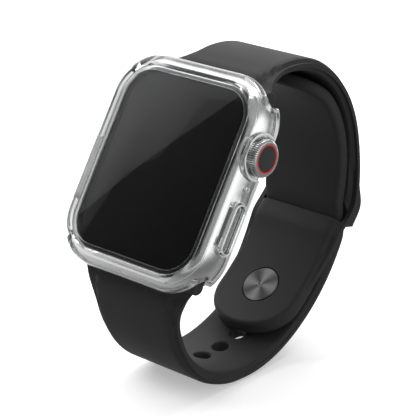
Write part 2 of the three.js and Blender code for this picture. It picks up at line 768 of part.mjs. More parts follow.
function studKnobGeometry() {
  const pocketTop = studKnobFloor + STUD_KNOB_THICKNESS / 2 + SEAT_GAP;
  const top = studKnobFloor + STUD_KNOB_THICKNESS;
  const bore = STUD_SPIGOT_RADIUS + SEAT_GAP;
  return turnedOnLoop([
    [0, pocketTop], [bore, pocketTop], [bore, studKnobFloor],
    [STUD_KNOB_RADIUS - CROWN_BEVEL, studKnobFloor], [STUD_KNOB_RADIUS, studKnobFloor + CROWN_BEVEL],
    [STUD_KNOB_RADIUS, top - CROWN_BEVEL], [STUD_KNOB_RADIUS - 2 * CROWN_BEVEL, top], [0, top],
  ], studPlace);
}

// Keyhole channel for a strap, straight through the case along X. Its mouth follows the strap's neck.
function lugChannel(side) {
  const bore = rodX(channelRadius, -CASE_WIDTH, CASE_WIDTH, side * BEAD_Y, BEAD_Z);
  const places = [];
  for (let reach = 0; reach <= LUG_REACH; reach += LUG_STEP) {
    places.push(side < 0 ? reach : loopLength - LUG_REACH + reach);
  }
  const mouthThickness = (place) => neckThickness(side < 0 ? place : loopLength - place);
  const mouth = strapBody(places, () => CASE_WIDTH, mouthThickness, () => 0, FIT_GAP);
  return solid(bore).add(solid(mouth));
}

function releaseRecess(side) {
  const depth = CASE_BACK + RELEASE_DEPTH + RELEASE_TRAVEL_ROOM;
  return pillZ(RELEASE_LENGTH + 2 * FIT_GAP, RELEASE_WIDTH + 2 * FIT_GAP, CASE_BACK - CUT_OVERRUN, depth,
    side * releaseY);
}

// Case body with its display seat, cavity, back opening, lug channels, bores and slots.
function housingGeometry() {
  let body = solid(caseEnvelope());
  const above = CASE_TOP + CUT_OVERRUN;
  body = cutAll(body, [
    plate(seatWidth, seatLength, seatCorner, seatFloor, above),
    plate(PANEL_WIDTH + 2 * FIT_GAP, PANEL_LENGTH + 2 * FIT_GAP, PANEL_CORNER, PANEL_POCKET_FLOOR, above),
    plate(cavityWidth, cavityLength, CAVITY_CORNER, CAVITY_FLOOR, above),
    plate(backSeatWidth - 2 * BACK_LEDGE, backSeatLength - 2 * BACK_LEDGE, BACK_SEAT_CORNER - BACK_LEDGE,
      CASE_BACK - CUT_OVERRUN, above),
    plate(backSeatWidth, backSeatLength, BACK_SEAT_CORNER, CASE_BACK - CUT_OVERRUN, BACK_SEAT),
    rodX(boreRadius, cavitySide - CUT_OVERRUN, caseSide + CUT_OVERRUN, CROWN_Y, CROWN_Z),
    pillX(BUTTON_LENGTH + 2 * FIT_GAP, BUTTON_WIDTH + 2 * FIT_GAP, caseSide - BUTTON_RECESS_DEPTH,
      caseSide + CUT_OVERRUN, BUTTON_Y, BUTTON_Z),
    rodX(BUTTON_STEM_RADIUS + FIT_GAP, cavitySide - CUT_OVERRUN, caseSide, BUTTON_Y, BUTTON_Z),
    rodX(MIC_HOLE_RADIUS, cavitySide - CUT_OVERRUN, caseSide + CUT_OVERRUN, MIC_HOLE_Y, CROWN_Z),
    releaseRecess(1),
    releaseRecess(-1),
  ]);
  [-1, 1].forEach((side) => {
    body = body.subtract(lugChannel(side));
    const y = SPEAKER_SLOT_Y + side * SPEAKER_SLOT_PITCH / 2;
    body = body.subtract(solid(pillX(SPEAKER_SLOT_LENGTH, SPEAKER_SLOT_WIDTH, -caseSide - CUT_OVERRUN,
      CUT_OVERRUN - cavitySide, y, CROWN_Z)));
  });
  return geometryOf(body);
}

function displayGlassGeometry() {
  const width = CASE_WIDTH - 2 * GLASS_INSET;
  const length = CASE_LENGTH - 2 * GLASS_INSET;
  const corner = CASE_CORNER - GLASS_INSET;
  const rings = [levelRing(width, length, corner, 0, glassBottom)];
  for (let i = 0; i <= PROFILE_STEPS; i += 1) {
    const angle = (i / PROFILE_STEPS) * Math.PI / 2;
    const inset = GLASS_EDGE * (1 - Math.cos(angle));
    rings.push(levelRing(width, length, corner, inset, GLASS_TOP - GLASS_EDGE * (1 - Math.sin(angle))));
  }
  return skin(rings);
}

function gasketGeometry() {
  const width = seatWidth - FIT_GAP;
  const length = seatLength - FIT_GAP;
  const low = seatFloor + SEAT_GAP / 2;
  const high = low + GASKET_THICKNESS;
  return skin([
    levelRing(width, length, seatCorner, 0, low),
    levelRing(width, length, seatCorner, 0, high),
    levelRing(width, length, seatCorner, GASKET_WIDTH, high),
    levelRing(width, length, seatCorner, GASKET_WIDTH, low),
  ], true);
}

function displayPanelGeometry() {
  const high = glassBottom - SEAT_GAP;
  return plate(PANEL_WIDTH, PANEL_LENGTH, PANEL_CORNER, high - PANEL_THICKNESS, high);
}

function backCoverGeometry() {
  const width = backSeatWidth - FIT_GAP;
  const length = backSeatLength - FIT_GAP;
  const rim = CASE_BACK - COVER_RIM_DROP;
  const body = solid(skin([
    levelRing(width, length, BACK_SEAT_CORNER, COVER_DOME_INSET, rim - COVER_DOME_DROP),
    levelRing(width, length, BACK_SEAT_CORNER, COVER_DOME_INSET / 3, rim - COVER_DOME_DROP / 3),
    levelRing(width, length, BACK_SEAT_CORNER, 0, rim),
    levelRing(width, length, BACK_SEAT_CORNER, 0, coverTop),
  ]));
  const bore = CRYSTAL_RADIUS + SEAT_GAP;
  const low = rim - COVER_DOME_DROP - CUT_OVERRUN;
  return geometryOf(cutAll(body, [turnedZ([[0, low], [bore, low], [bore, BACK_SEAT], [0, BACK_SEAT]])]));
}

function crystalGeometry() {
  const rim = CASE_BACK - COVER_RIM_DROP - CRYSTAL_EDGE_DROP;
  return turnedZ([
    [0, CASE_BACK - CRYSTAL_DROP], [CRYSTAL_FLAT_RADIUS, CASE_BACK - CRYSTAL_DROP],
    [CRYSTAL_RADIUS, rim], [CRYSTAL_RADIUS, coverTop], [0, coverTop],
  ]);
}

function sensorBoardGeometry() {
  const low = coverTop + SEAT_GAP;
  const high = low + SENSOR_BOARD_THICKNESS;
  return turnedZ([[0, low], [SENSOR_BOARD_RADIUS, low], [SENSOR_BOARD_RADIUS, high], [0, high]]);
}

function coilGeometry() {
  const low = coverTop + SEAT_GAP;
  const high = low + COIL_THICKNESS;
  const inner = SENSOR_BOARD_RADIUS + FIT_GAP;
  const outer = inner + COIL_WIDTH;
  return turnedZ([[inner, low], [outer, low], [outer, high], [inner, high], [inner, low]]);
}

function logicBoardGeometry() {
  const low = boardTop - BOARD_THICKNESS;
  const width = cavityWidth - 2 * BOARD_MARGIN;
  const length = cavityLength - 2 * BOARD_MARGIN;
  let body = solid(plate(width, length, CELL_CORNER, low, boardTop));
  [-1, 0, 1].forEach((row) => {
    const y = row * CHIP_PITCH - CHIP_SIDE / 2;
    const chip = boxFrom(-CHIP_SIDE / 2, y, low, CHIP_SIDE, CHIP_SIDE, BOARD_THICKNESS + CHIP_HEIGHT);
    body = body.add(solid(chip));
  });
  return geometryOf(body);
}

function batteryGeometry() {
  const geometry = plate(cellWidth, cellLength, CELL_CORNER, moduleFloor, moduleFloor + CELL_HEIGHT);
  geometry.translate(0, cellEnd - cellLength / 2, 0);
  return geometry;
}

function hapticGeometry() {
  return boxFrom(-HAPTIC_WIDTH / 2, hapticEnd - HAPTIC_LENGTH, moduleFloor, HAPTIC_WIDTH, HAPTIC_LENGTH,
    CELL_HEIGHT);
}

function speakerGeometry() {
  const x = FIT_GAP - cavitySide;
  const y = SPEAKER_SLOT_Y - SPEAKER_LENGTH / 2;
  return boxFrom(x, y, moduleFloor, SPEAKER_WIDTH, SPEAKER_LENGTH, CELL_HEIGHT);
}

function microphoneGeometry() {
  const x = cavitySide - FIT_GAP - MIC_SIZE;
  return boxFrom(x, MIC_HOLE_Y - MIC_SIZE / 2, CROWN_Z - MIC_SIZE / 2, MIC_SIZE, MIC_SIZE, MIC_SIZE);
}

// Crown: knurled wheel, inlaid ring, face cap and shaft that turn together.
function crownWheelGeometry() {
  const face = crownFace;
  const profile = [
    [0, crownBack], [CROWN_RADIUS - CROWN_BEVEL, crownBack], [CROWN_RADIUS, crownBack + CROWN_BEVEL],
  ];
  for (let i = 0; i <= SHOULDER_STEPS; i += 1) {
    const angle = (i / SHOULDER_STEPS) * Math.PI / 2;
    const radius = CROWN_RADIUS - CROWN_SHOULDER_DROP * (1 - Math.cos(angle));
    profile.push([radius, face - CROWN_SHOULDER_LENGTH * (1 - Math.sin(angle))]);
  }
  profile.push([0, face]);
  const body = solid(turnedX(profile, CROWN_Y, CROWN_Z, 2 * KNURL_COUNT));
  const cutters = [
    ringX(RING_INNER - SEAT_GAP, RING_OUTER + SEAT_GAP, face - RING_DEPTH - SEAT_GAP, face + CUT_OVERRUN,
      CROWN_Y, CROWN_Z, ROUND_SIDES),
    rodX(CAP_RADIUS + SEAT_GAP, face - CAP_THICKNESS - SEAT_GAP, face + CUT_OVERRUN, CROWN_Y, CROWN_Z,
      ROUND_SIDES),
    rodX(SHAFT_RADIUS + SEAT_GAP, crownBack - CUT_OVERRUN, crownBack + SHAFT_SPIGOT + SEAT_GAP,
      CROWN_Y, CROWN_Z),
  ];
  for (let i = 0; i < KNURL_COUNT; i += 1) {
    const groove = new THREE.BoxGeometry(CROWN_LENGTH - 2 * KNURL_MARGIN, 2 * KNURL_DEPTH, 2 * KNURL_DEPTH);
    groove.rotateX(Math.PI / 4);
    groove.translate((crownBack + face) / 2, 0, CROWN_RADIUS + KNURL_DEPTH * (Math.SQRT2 - 1));
    groove.rotateX(2 * Math.PI * i / KNURL_COUNT);
    groove.translate(0, CROWN_Y, CROWN_Z);
    cutters.push(groove);
  }
  return geometryOf(cutAll(body, cutters));
}

function crownRingGeometry() {
  return ringX(RING_INNER, RING_OUTER, crownFace - RING_DEPTH, crownFace, CROWN_Y, CROWN_Z, ROUND_SIDES);
}

function crownCapGeometry() {
  return rodX(CAP_RADIUS, crownFace - CAP_THICKNESS, crownFace, CROWN_Y, CROWN_Z, ROUND_SIDES);
}

function crownShaftGeometry() {
  return rodX(SHAFT_RADIUS, thrustFace + SEAT_GAP, crownBack + SHAFT_SPIGOT, CROWN_Y, CROWN_Z);
}

function crownBushGeometry() {
  const inner = SHAFT_RADIUS + FIT_GAP;
  const outer = inner + BUSH_WALL;
  const counter = inner + SEAL_WALL;
  const sealSeat = bushOuterEnd - SEAL_LENGTH - SEAT_GAP;
  return turnedX([
    [inner, cavitySide], [outer, cavitySide], [outer, bushOuterEnd],
    [counter, bushOuterEnd], [counter, sealSeat], [inner, sealSeat], [inner, cavitySide],
  ], CROWN_Y, CROWN_Z, SMALL_SIDES);
}

function crownSealGeometry() {
  const inner = SHAFT_RADIUS + SEAT_GAP;
  const outer = SHAFT_RADIUS + FIT_GAP + SEAL_WALL - SEAT_GAP;
  return ringX(inner, outer, bushOuterEnd - SEAL_LENGTH, bushOuterEnd, CROWN_Y, CROWN_Z);
}

function thrustPlateGeometry() {
  return rodX(THRUST_RADIUS, thrustFace - THRUST_THICKNESS, thrustFace, CROWN_Y, CROWN_Z);
}

// Tactile switch: a body with a small dome towards the piece that presses it.
function switchGeometry(face, y, z) {
  const body = solid(boxFrom(face - SWITCH_DEPTH, y - SWITCH_SIZE / 2, z - SWITCH_SIZE / 2,
    SWITCH_DEPTH - SWITCH_GAP / 2, SWITCH_SIZE, SWITCH_SIZE));
  const dome = rodX(SWITCH_SIZE / 4, face - SWITCH_DEPTH / 2, face, y, z);
  return geometryOf(body.add(solid(dome)));
}

const crownSwitchFace = thrustFace - THRUST_THICKNESS - SWITCH_GAP;
const buttonBack = caseSide - BUTTON_DEPTH;
const buttonStemEnd = thrustFace;

function sideButtonGeometry() {
  const body = solid(pillX(BUTTON_LENGTH, BUTTON_WIDTH, buttonBack, caseSide, BUTTON_Y, BUTTON_Z));
  const stem = rodX(BUTTON_STEM_RADIUS, buttonStemEnd, buttonBack + SEAT_GAP, BUTTON_Y, BUTTON_Z);
  return geometryOf(body.add(solid(stem)));
}

function releaseButtonGeometry(side) {
  return pillZ(RELEASE_LENGTH, RELEASE_WIDTH, CASE_BACK, CASE_BACK + RELEASE_DEPTH, side * releaseY);
}

// Levels and insets of the pane under the lip, measured from the bumper's outline.
const lipInset = BUMPER_CREST_INSET + LIP_WIDTH;
const paneInset = lipInset - PANE_MARGIN;
const rebateInset = paneInset - FIT_GAP / 2;
const rebateTop = BUMPER_CREST - LIP_DROP - LIP_THICKNESS;
const bondTop = rebateTop - BOND_GAP;
const paneTop = bondTop - BOND_THICKNESS - BOND_GAP;

// Protector bumper: one closed profile of wall, crest, lip, pane rebate and inner wall, swept round.
function bumperFrame() {
  const at = (inset, z) => levelRing(BUMPER_WIDTH, BUMPER_LENGTH, BUMPER_CORNER, inset, z);
  const inner = (BUMPER_WIDTH - CASE_WIDTH) / 2 - FIT_GAP;
  const rings = [at(BUMPER_FOOT_ROUND, BUMPER_BOTTOM), at(0, BUMPER_BOTTOM + BUMPER_FOOT_ROUND)];
  for (let i = 0; i <= 2 * PROFILE_STEPS; i += 1) {
    const angle = (i / (2 * PROFILE_STEPS)) * Math.PI / 2;
    const rise = (BUMPER_CREST - BUMPER_SHOULDER) * Math.sin(angle);
    rings.push(at(BUMPER_CREST_INSET * (1 - Math.cos(angle)), BUMPER_SHOULDER + rise));
  }
  rings.push(at(BUMPER_CREST_INSET + LIP_WIDTH / 3, BUMPER_CREST - LIP_DROP / 6));
  rings.push(at(lipInset, BUMPER_CREST - LIP_DROP));
  rings.push(at(lipInset, rebateTop));
  rings.push(at(rebateInset, rebateTop));
  rings.push(at(rebateInset, CASE_TOP + FIT_GAP));
  for (let i = PROFILE_STEPS; i >= 0; i -= 1) {
    const angle = (i / PROFILE_STEPS) * Math.PI / 2;
    const rise = (CASE_TOP + FIT_GAP - GIRTH_HIGH) * Math.sin(angle);
    rings.push(at(inner + CASE_TOP_INSET * (1 - Math.cos(angle)), GIRTH_HIGH + rise));
  }
  rings.push(at(inner, BUMPER_BOTTOM));
  return skin(rings, true);
}

// Cut at a strap end: a valley round the bead, open upwards to its top and outwards for the strap.
// Its floor leaves a short hook inside each end of the bead.
function strapCut(side) {
  const reach = BUMPER_LENGTH;
  const start = BEAD_Y - channelRadius;
  const shape = new THREE.Shape();
  shape.moveTo(BEAD_Y - STRAP_HOOK_END, BUMPER_BOTTOM - CUT_OVERRUN);
  shape.lineTo(reach, BUMPER_BOTTOM - CUT_OVERRUN);
  shape.lineTo(reach, STRAP_CUT_TOP);
  shape.lineTo(start + STRAP_CUT_ROUND, STRAP_CUT_TOP);
  shape.absarc(start + STRAP_CUT_ROUND, STRAP_CUT_TOP - STRAP_CUT_ROUND, STRAP_CUT_ROUND,
    Math.PI / 2, Math.PI, false);
  const hookTurn = Math.acos(STRAP_HOOK_END / channelRadius);
  shape.absarc(BEAD_Y, BEAD_Z, channelRadius, Math.PI, Math.PI + hookTurn, false);
  const geometry = new THREE.ExtrudeGeometry(shape, {
    depth: 2 * BUMPER_WIDTH, curveSegments: PROFILE_STEPS, bevelEnabled: false,
  });
  geometry.translate(0, 0, -BUMPER_WIDTH);
  geometry.rotateX(Math.PI / 2);
  geometry.rotateZ(Math.PI / 2);
  if (side < 0) {
    geometry.rotateZ(Math.PI);
  }
  return geometry;
}

// Guard ring round the crown port. It reaches deeper where the bumper's shoulder rounds away from the side.
function crownCollar() {
  const outer = crownPortRadius + COLLAR_WALL;
  const base = bumperSide - COLLAR_DEPTH;
  const root = bumperSide - COLLAR_ROOT;
  const top = bumperSide + COLLAR_HEIGHT;
  const ring = solid(turnedX([
    [0, base], [outer + COLLAR_FLARE, base], [outer, top], [0, top],
  ], CROWN_Y, CROWN_Z));
  const crest = BUMPER_CREST - LIP_DROP / 2;
  const shoulder = CASE_TOP + FIT_GAP + SEAT_GAP;
  const y = CROWN_Y - BUMPER_WIDTH / 2;
  const wallPart = boxFrom(root, y, BUMPER_BOTTOM, BUMPER_WIDTH, BUMPER_WIDTH, crest - BUMPER_BOTTOM);
  const shoulderPart = boxFrom(0, y, shoulder, BUMPER_WIDTH, BUMPER_WIDTH, crest - shoulder);
  return ring.intersect(solid(wallPart).add(solid(shoulderPart)));
}

// Port that lets the crown stand out and the bumper lift off past it.
function crownPort() {
  const from = bumperSide - CROWN_PORT_DEPTH;
  const to = bumperSide + COLLAR_HEIGHT + CUT_OVERRUN;
  const hole = solid(rodX(crownPortRadius, from, to, CROWN_Y, CROWN_Z, ROUND_SIDES));
  const drop = CROWN_Z - BUMPER_BOTTOM + CUT_OVERRUN;
  const slot = boxFrom(from, CROWN_Y - crownPortRadius, CROWN_Z - drop, to - from, 2 * crownPortRadius, drop);
  return hole.add(solid(slot));
}

function bumperGeometry() {
  let body = solid(bumperFrame()).add(crownCollar());
  body = body.subtract(crownPort());
  const outside = bumperSide + CUT_OVERRUN;
  return geometryOf(cutAll(body, [
    strapCut(1),
    strapCut(-1),
    pillX(COVER_LENGTH, COVER_WIDTH, caseSide - CUT_OVERRUN, outside, BUTTON_Y, BUTTON_Z),
    rodX(BUMPER_MIC_RADIUS, caseSide - CUT_OVERRUN, outside, MIC_HOLE_Y, CROWN_Z),
    pillX(BUMPER_SPEAKER_LENGTH, BUMPER_SPEAKER_WIDTH, -outside, CUT_OVERRUN - caseSide, SPEAKER_SLOT_Y,
      CROWN_Z),
  ]));
}

function paneGeometry() {
  return skin([
    levelRing(BUMPER_WIDTH, BUMPER_LENGTH, BUMPER_CORNER, paneInset, paneTop - PANE_THICKNESS),
    levelRing(BUMPER_WIDTH, BUMPER_LENGTH, BUMPER_CORNER, paneInset, paneTop),
  ]);
}

function paneBondGeometry() {
  const low = bondTop - BOND_THICKNESS;
  const at = (inset, z) => levelRing(BUMPER_WIDTH, BUMPER_LENGTH, BUMPER_CORNER, inset, z);
  const outer = paneInset + BOND_GAP;
  return skin([at(outer, low), at(outer, bondTop), at(lipInset, bondTop), at(lipInset, low)], true);
}

function buttonCoverGeometry() {
  return pillX(COVER_LENGTH - 2 * FIT_GAP, COVER_WIDTH - 2 * FIT_GAP, caseSide + FIT_GAP,
    bumperSide + COVER_PROUD, BUTTON_Y, BUTTON_Z, COVER_BEVEL);
}

// Assembly in the head's frame, then stood on the band.
const head = new THREE.Group();
head.add(
  piece('case_housing', housingGeometry(), finish.aluminium()),
  piece('display_glass', displayGlassGeometry(), finish.glass()),
  piece('display_gasket', gasketGeometry(), finish.dark()),
  piece('display_panel', displayPanelGeometry(), finish.dark()),
  piece('back_cover', backCoverGeometry(), finish.ceramic()),
  piece('sensor_crystal', crystalGeometry(), finish.glass()),
  piece('sensor_board', sensorBoardGeometry(), finish.board()),
  piece('charging_coil', coilGeometry(), finish.copper()),
  piece('logic_board', logicBoardGeometry(), finish.board()),
  piece('battery', batteryGeometry(), finish.cell()),
  piece('haptic_motor', hapticGeometry(), finish.steel()),
  piece('speaker_module', speakerGeometry(), finish.dark()),
  piece('microphone', microphoneGeometry(), finish.steel()),
);
head.add(
  piece('crown_wheel', crownWheelGeometry(), finish.aluminium()),
  piece('crown_ring', crownRingGeometry(), finish.orange()),
  piece('crown_cap', crownCapGeometry(), finish.dark()),
  piece('crown_shaft', crownShaftGeometry(), finish.steel()),
  piece('crown_bush', crownBushGeometry(), finish.brass()),
  piece('crown_seal', crownSealGeometry(), finish.elastomer()),
  piece('crown_thrust_plate', thrustPlateGeometry(), finish.steel()),
  piece('crown_switch', switchGeometry(crownSwitchFace, CROWN_Y, CROWN_Z), finish.dark()),
  piece('side_button', sideButtonGeometry(), finish.aluminium()),
  piece('side_button_switch', switchGeometry(buttonStemEnd - SWITCH_GAP, BUTTON_Y, BUTTON_Z), finish.dark()),
);
[[1, 'upper'], [-1, 'lower']].forEach(([side, place]) => {
  head.add(piece(`${place}_release_button`, releaseButtonGeometry(side), finish.aluminium()));
});
head.add(
  piece('pin_strap', pinStrapGeometry(), finish.elastomer()),
  piece('pin_strap_catch', geometryOf(solid(catchPin(1))), finish.steel()),
  piece('hole_strap', holeStrapGeometry(), finish.elastomer()),
  piece('hole_strap_catch', geometryOf(solid(catchPin(-1))), finish.steel()),
  piece('band_stud', studGeometry(), finish.steel()),
  piece('band_stud_knob', studKnobGeometry(), finish.steel()),
);
head.add(
  piece('protector_bumper', bumperGeometry(), finish.clear()),
  piece('protector_pane', paneGeometry(), finish.clear()),
  piece('protector_pane_bond', paneBondGeometry(), finish.clear()),
  piece('protector_button_cover', buttonCoverGeometry(), finish.clear()),
);
head.rotation.x = HEAD_TILT;

const assembly = new THREE.Group();
assembly.add(head);
assembly.updateMatrixWorld(true);
const bounds = new THREE.Box3().setFromObject(assembly, true);
const centre = bounds.getCenter(new THREE.Vector3());
head.position.set(-centre.x, -centre.y, -bounds.min.z);

export default assembly;
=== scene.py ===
"""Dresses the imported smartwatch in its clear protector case: fine shapes, finishes, studio and camera.

Shapes are drawn in the head's own frame, in millimetres: +X to the crown, +Y to 12 o'clock, +Z out of the
face. Each finished mesh is then stood up on the band, in metres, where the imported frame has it.
"""

import json
import logging
import math
from collections.abc import Callable, Sequence
from dataclasses import dataclass, field
from enum import Enum, IntEnum
from typing import ClassVar

import bmesh
import bpy
import numpy as np
from mathutils import Matrix, Vector

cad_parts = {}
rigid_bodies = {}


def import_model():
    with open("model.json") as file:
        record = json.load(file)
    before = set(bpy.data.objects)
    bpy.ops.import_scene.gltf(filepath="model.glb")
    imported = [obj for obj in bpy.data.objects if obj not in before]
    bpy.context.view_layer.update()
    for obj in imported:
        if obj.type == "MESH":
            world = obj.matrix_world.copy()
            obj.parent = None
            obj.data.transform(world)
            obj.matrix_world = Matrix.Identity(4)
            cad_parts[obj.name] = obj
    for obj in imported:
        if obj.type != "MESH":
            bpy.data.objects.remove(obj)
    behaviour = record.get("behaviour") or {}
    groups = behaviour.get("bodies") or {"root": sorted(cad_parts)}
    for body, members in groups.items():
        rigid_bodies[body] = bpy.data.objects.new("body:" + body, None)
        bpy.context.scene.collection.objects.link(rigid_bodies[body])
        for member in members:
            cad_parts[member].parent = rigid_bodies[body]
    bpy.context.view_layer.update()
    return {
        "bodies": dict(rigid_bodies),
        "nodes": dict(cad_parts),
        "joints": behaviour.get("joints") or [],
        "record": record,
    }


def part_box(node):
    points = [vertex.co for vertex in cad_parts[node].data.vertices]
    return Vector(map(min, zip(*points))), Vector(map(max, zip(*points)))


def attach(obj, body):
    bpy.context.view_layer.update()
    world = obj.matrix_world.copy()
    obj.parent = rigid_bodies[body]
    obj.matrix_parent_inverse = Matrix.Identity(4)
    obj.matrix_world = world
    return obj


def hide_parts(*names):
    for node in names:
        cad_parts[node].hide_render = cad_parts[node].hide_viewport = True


log = logging.getLogger("watch")

MM = 0.001
HEAD_TILT = math.radians(57.6)
PANEL_MIDDLE_Z = 6.85
IMAGE_SIDE = 416
MERGE_REACH = 1e-5
CUT_OVERRUN = 1.5
MOST_REACH_SHARE = 0.49
NOISE_RANGE = (0.3, 0.7)
CLOUD_RANGE = (0.45, 0.75)

Array = np.ndarray
Pair = tuple[float, float]
Triple = tuple[float, float, float]
Colour = Triple
Piece = bpy.types.Object
Socket = bpy.types.NodeSocket
Tree = bpy.types.NodeTree
Material = bpy.types.Material
Outputs = bpy.types.bpy_prop_collection


class Cut(Enum):
    """Ways to combine two solids."""

    SUBTRACT = "DIFFERENCE"
    JOIN = "UNION"
    KEEP = "INTERSECT"


class Side(Enum):
    """Ends of the case where a strap slides in."""

    UPPER = 1
    LOWER = -1


class Axis(Enum):
    """Direction a turned part points in."""

    X = "x"
    Z = "z"


class Sides(IntEnum):
    """Steps round a turned form."""

    PIN = 32
    SHANK = 40
    ROD = 48
    HOLE = 56
    BORE = 64
    SEAT = 72
    DISC = 96
    RING = 128
    WHEEL = 156


# Drawing helpers


def ease(share: Array | float) -> Array | float:
    """Returns a smooth step of a share, from 0 to 1."""
    kept = np.clip(share, 0.0, 1.0)
    return kept * kept * (3 - 2 * kept)


def mix(low: float, high: float, share: Array | float) -> Array | float:
    """Returns the value a share of the way from low to high."""
    return low + (high - low) * share


def outline(
    width: float, length: float, corner: float, corner_steps: int = 18, side_steps: int = 14
) -> Array:
    """Draws a rounded rectangle round the origin, counterclockwise.

    Args:
        width: Size across.
        length: Size along.
        corner: Corner radius.
        corner_steps: Steps in each corner.
        side_steps: Steps on each straight side.

    Returns:
        Points, one row each.
    """
    radius = min(corner, width / 2, length / 2)
    arcs = []
    for quarter, (sx, sy) in enumerate(((1, 1), (-1, 1), (-1, -1), (1, -1))):
        angles = (quarter + np.arange(corner_steps + 1) / corner_steps) * np.pi / 2
        x = sx * (width / 2 - radius) + radius * np.cos(angles)
        y = sy * (length / 2 - radius) + radius * np.sin(angles)
        arcs.append(np.column_stack((x, y)))
    rows = []
    share = (np.arange(1, side_steps) / side_steps)[:, None]
    for number, arc in enumerate(arcs):
        after = arcs[(number + 1) % len(arcs)][0]
        rows.extend((arc, arc[-1] + share * (after - arc[-1])))
    return np.vstack(rows)


def pill_outline(length: float, width: float, steps: int = 20) -> Array:
    """Draws a pill round the origin, long in its first direction.

    Args:
        length: Size over both round ends.
        width: Size across.
        steps: Steps in each round end.

    Returns:
        Points, one row each.
    """
    reach = (length - width) / 2
    angles = np.linspace(-np.pi / 2, np.pi / 2, steps + 1)
    right = np.column_stack((reach + width / 2 * np.cos(angles), width / 2 * np.sin(angles)))
    left = -right
    return np.vstack((right, left))


def filleted(corners: Sequence[Triple], closed: bool, steps: int = 4) -> list[Pair]:
    """Rounds the corners of a chain of lines.

    Args:
        corners: Places with the reach of the rounding at each.
        closed: Whether the chain returns to its start.
        steps: Steps in each rounding.

    Returns:
        The rounded chain.
    """
    chain: list[Pair] = []
    count = len(corners)
    for number, (x, y, reach) in enumerate(corners):
        here = np.array((x, y))
        if reach <= 0 or (not closed and number in (0, count - 1)):
            chain.append((x, y))
            continue
        ends = []
        for other in (number - 1, (number + 1) % count):
            along = np.array(corners[other][:2]) - here
            size = np.linalg.norm(along)
            ends.append(here + along / size * min(reach, size * MOST_REACH_SHARE))
        start, stop = ends
        for step in range(steps + 1):
            t = step / steps
            point = (1 - t) ** 2 * start + 2 * t * (1 - t) * here + t**2 * stop
            chain.append((float(point[0]), float(point[1])))
    return chain


def arc(start: Pair, stop: Pair, steps: int, steep_start: bool = True) -> list[Pair]:
    """Draws a quarter of an ellipse between two places.

    Args:
        start: First place, as inset and height.
        stop: Last place.
        steps: Steps between them.
        steep_start: Whether it leaves the start along the height.

    Returns:
        Places along the quarter, both ends with it.
    """
    angles = np.linspace(0, np.pi / 2, steps + 1)
    slow, fast = 1 - np.cos(angles), np.sin(angles)
    first, second = (slow, fast) if steep_start else (fast, slow)
    x = start[0] + (stop[0] - start[0]) * first
    y = start[1] + (stop[1] - start[1]) * second
    return list(zip(x.tolist(), y.tolist()))


@dataclass
class Raw:
    """A closed mesh in the head's frame, in millimetres."""

    points: Array
    faces: list[tuple[int, ...]]

    def moved(self, x: float = 0.0, y: float = 0.0, z: float = 0.0) -> "Raw":
        """Returns the mesh shifted."""
        return Raw(self.points + np.array((x, y, z)), self.faces)

    def turned(self, matrix: Array) -> "Raw":
        """Returns the mesh with its points turned by a 3 by 3 matrix."""
        return Raw(self.points @ matrix.T, self.faces)


def skin(rings: Sequence[Array], closed: bool = False) -> Raw:
    """Skins rings of equal counts.

    Args:
        rings: Rings of points in order.
        closed: Whether the last ring meets the first, with no caps.

    Returns:
        The skinned mesh.
    """
    stacked = np.asarray(rings, float)
    index = np.arange(stacked.shape[0] * stacked.shape[1]).reshape(stacked.shape[:2])
    low = index if closed else index[:-1]
    high = np.roll(index, -1, 0) if closed else index[1:]
    quads = np.stack((low, np.roll(low, -1, 1), np.roll(high, -1, 1), high), -1)
    faces = [tuple(quad) for quad in quads.reshape(-1, 4).tolist()]
    if not closed:
        faces.append(tuple(index[0][::-1].tolist()))
        faces.append(tuple(index[-1].tolist()))
    return Raw(stacked.reshape(-1, 3), faces)


def level(points: Array, z: float) -> Array:
    """Returns a flat outline lifted to a height."""
    return np.column_stack((points, np.full(len(points), z)))


def block(corners: Sequence[Pair], low: float, high: float) -> Raw:
    """Returns a straight block over a flat outline."""
    flat = np.array(corners, float)
    return skin([level(flat, low), level(flat, high)])


def plate(width: float, length: float, corner: float, low: float, high: float) -> Raw:
    """Returns a flat plate with a rounded outline between two heights."""
    flat = outline(width, length, corner)
    return skin([level(flat, low), level(flat, high)])


def stack(width: float, length: float, corner: float, profile: Sequence[Pair], closed: bool = False) -> Raw:
    """Lofts rounded rectangles drawn in from one outline.

    Args:
        width: Outline's size across.
        length: Outline's size along.
        corner: Outline's corner radius.
        profile: Inset and height of each ring.
        closed: Whether the profile returns to its start.

    Returns:
        The lofted mesh.
    """
    rings = [
        level(outline(width - 2 * inset, length - 2 * inset, corner - inset), z) for inset, z in profile
    ]
    return skin(rings, closed)


def lathe(profile: Sequence[Pair], sides: int, axis: Axis = Axis.Z, closed: bool = False) -> Raw:
    """Turns a profile round an axis through the origin.

    Args:
        profile: Radius and height pairs from one end to the other.
        sides: Steps round the axis.
        axis: Direction the heights point in.
        closed: Whether the profile returns to its start, as for a ring.

    Returns:
        The turned mesh.
    """
    angles = np.arange(sides) / sides * 2 * np.pi
    rings = []
    for radius, height in profile:
        round_x, round_y = radius * np.cos(angles), radius * np.sin(angles)
        rings.append(np.column_stack((round_x, round_y, np.full(sides, height))))
    turned = skin(rings, closed)
    if axis is Axis.X:
        turned.points = turned.points[:, (2, 0, 1)]
    return turned


def rod(radius: float, low: float, high: float, sides: int = Sides.ROD, axis: Axis = Axis.X) -> Raw:
    """Returns a plain round cutter or pin along an axis through the origin."""
    return lathe([(radius, low), (radius, high)], sides, axis)


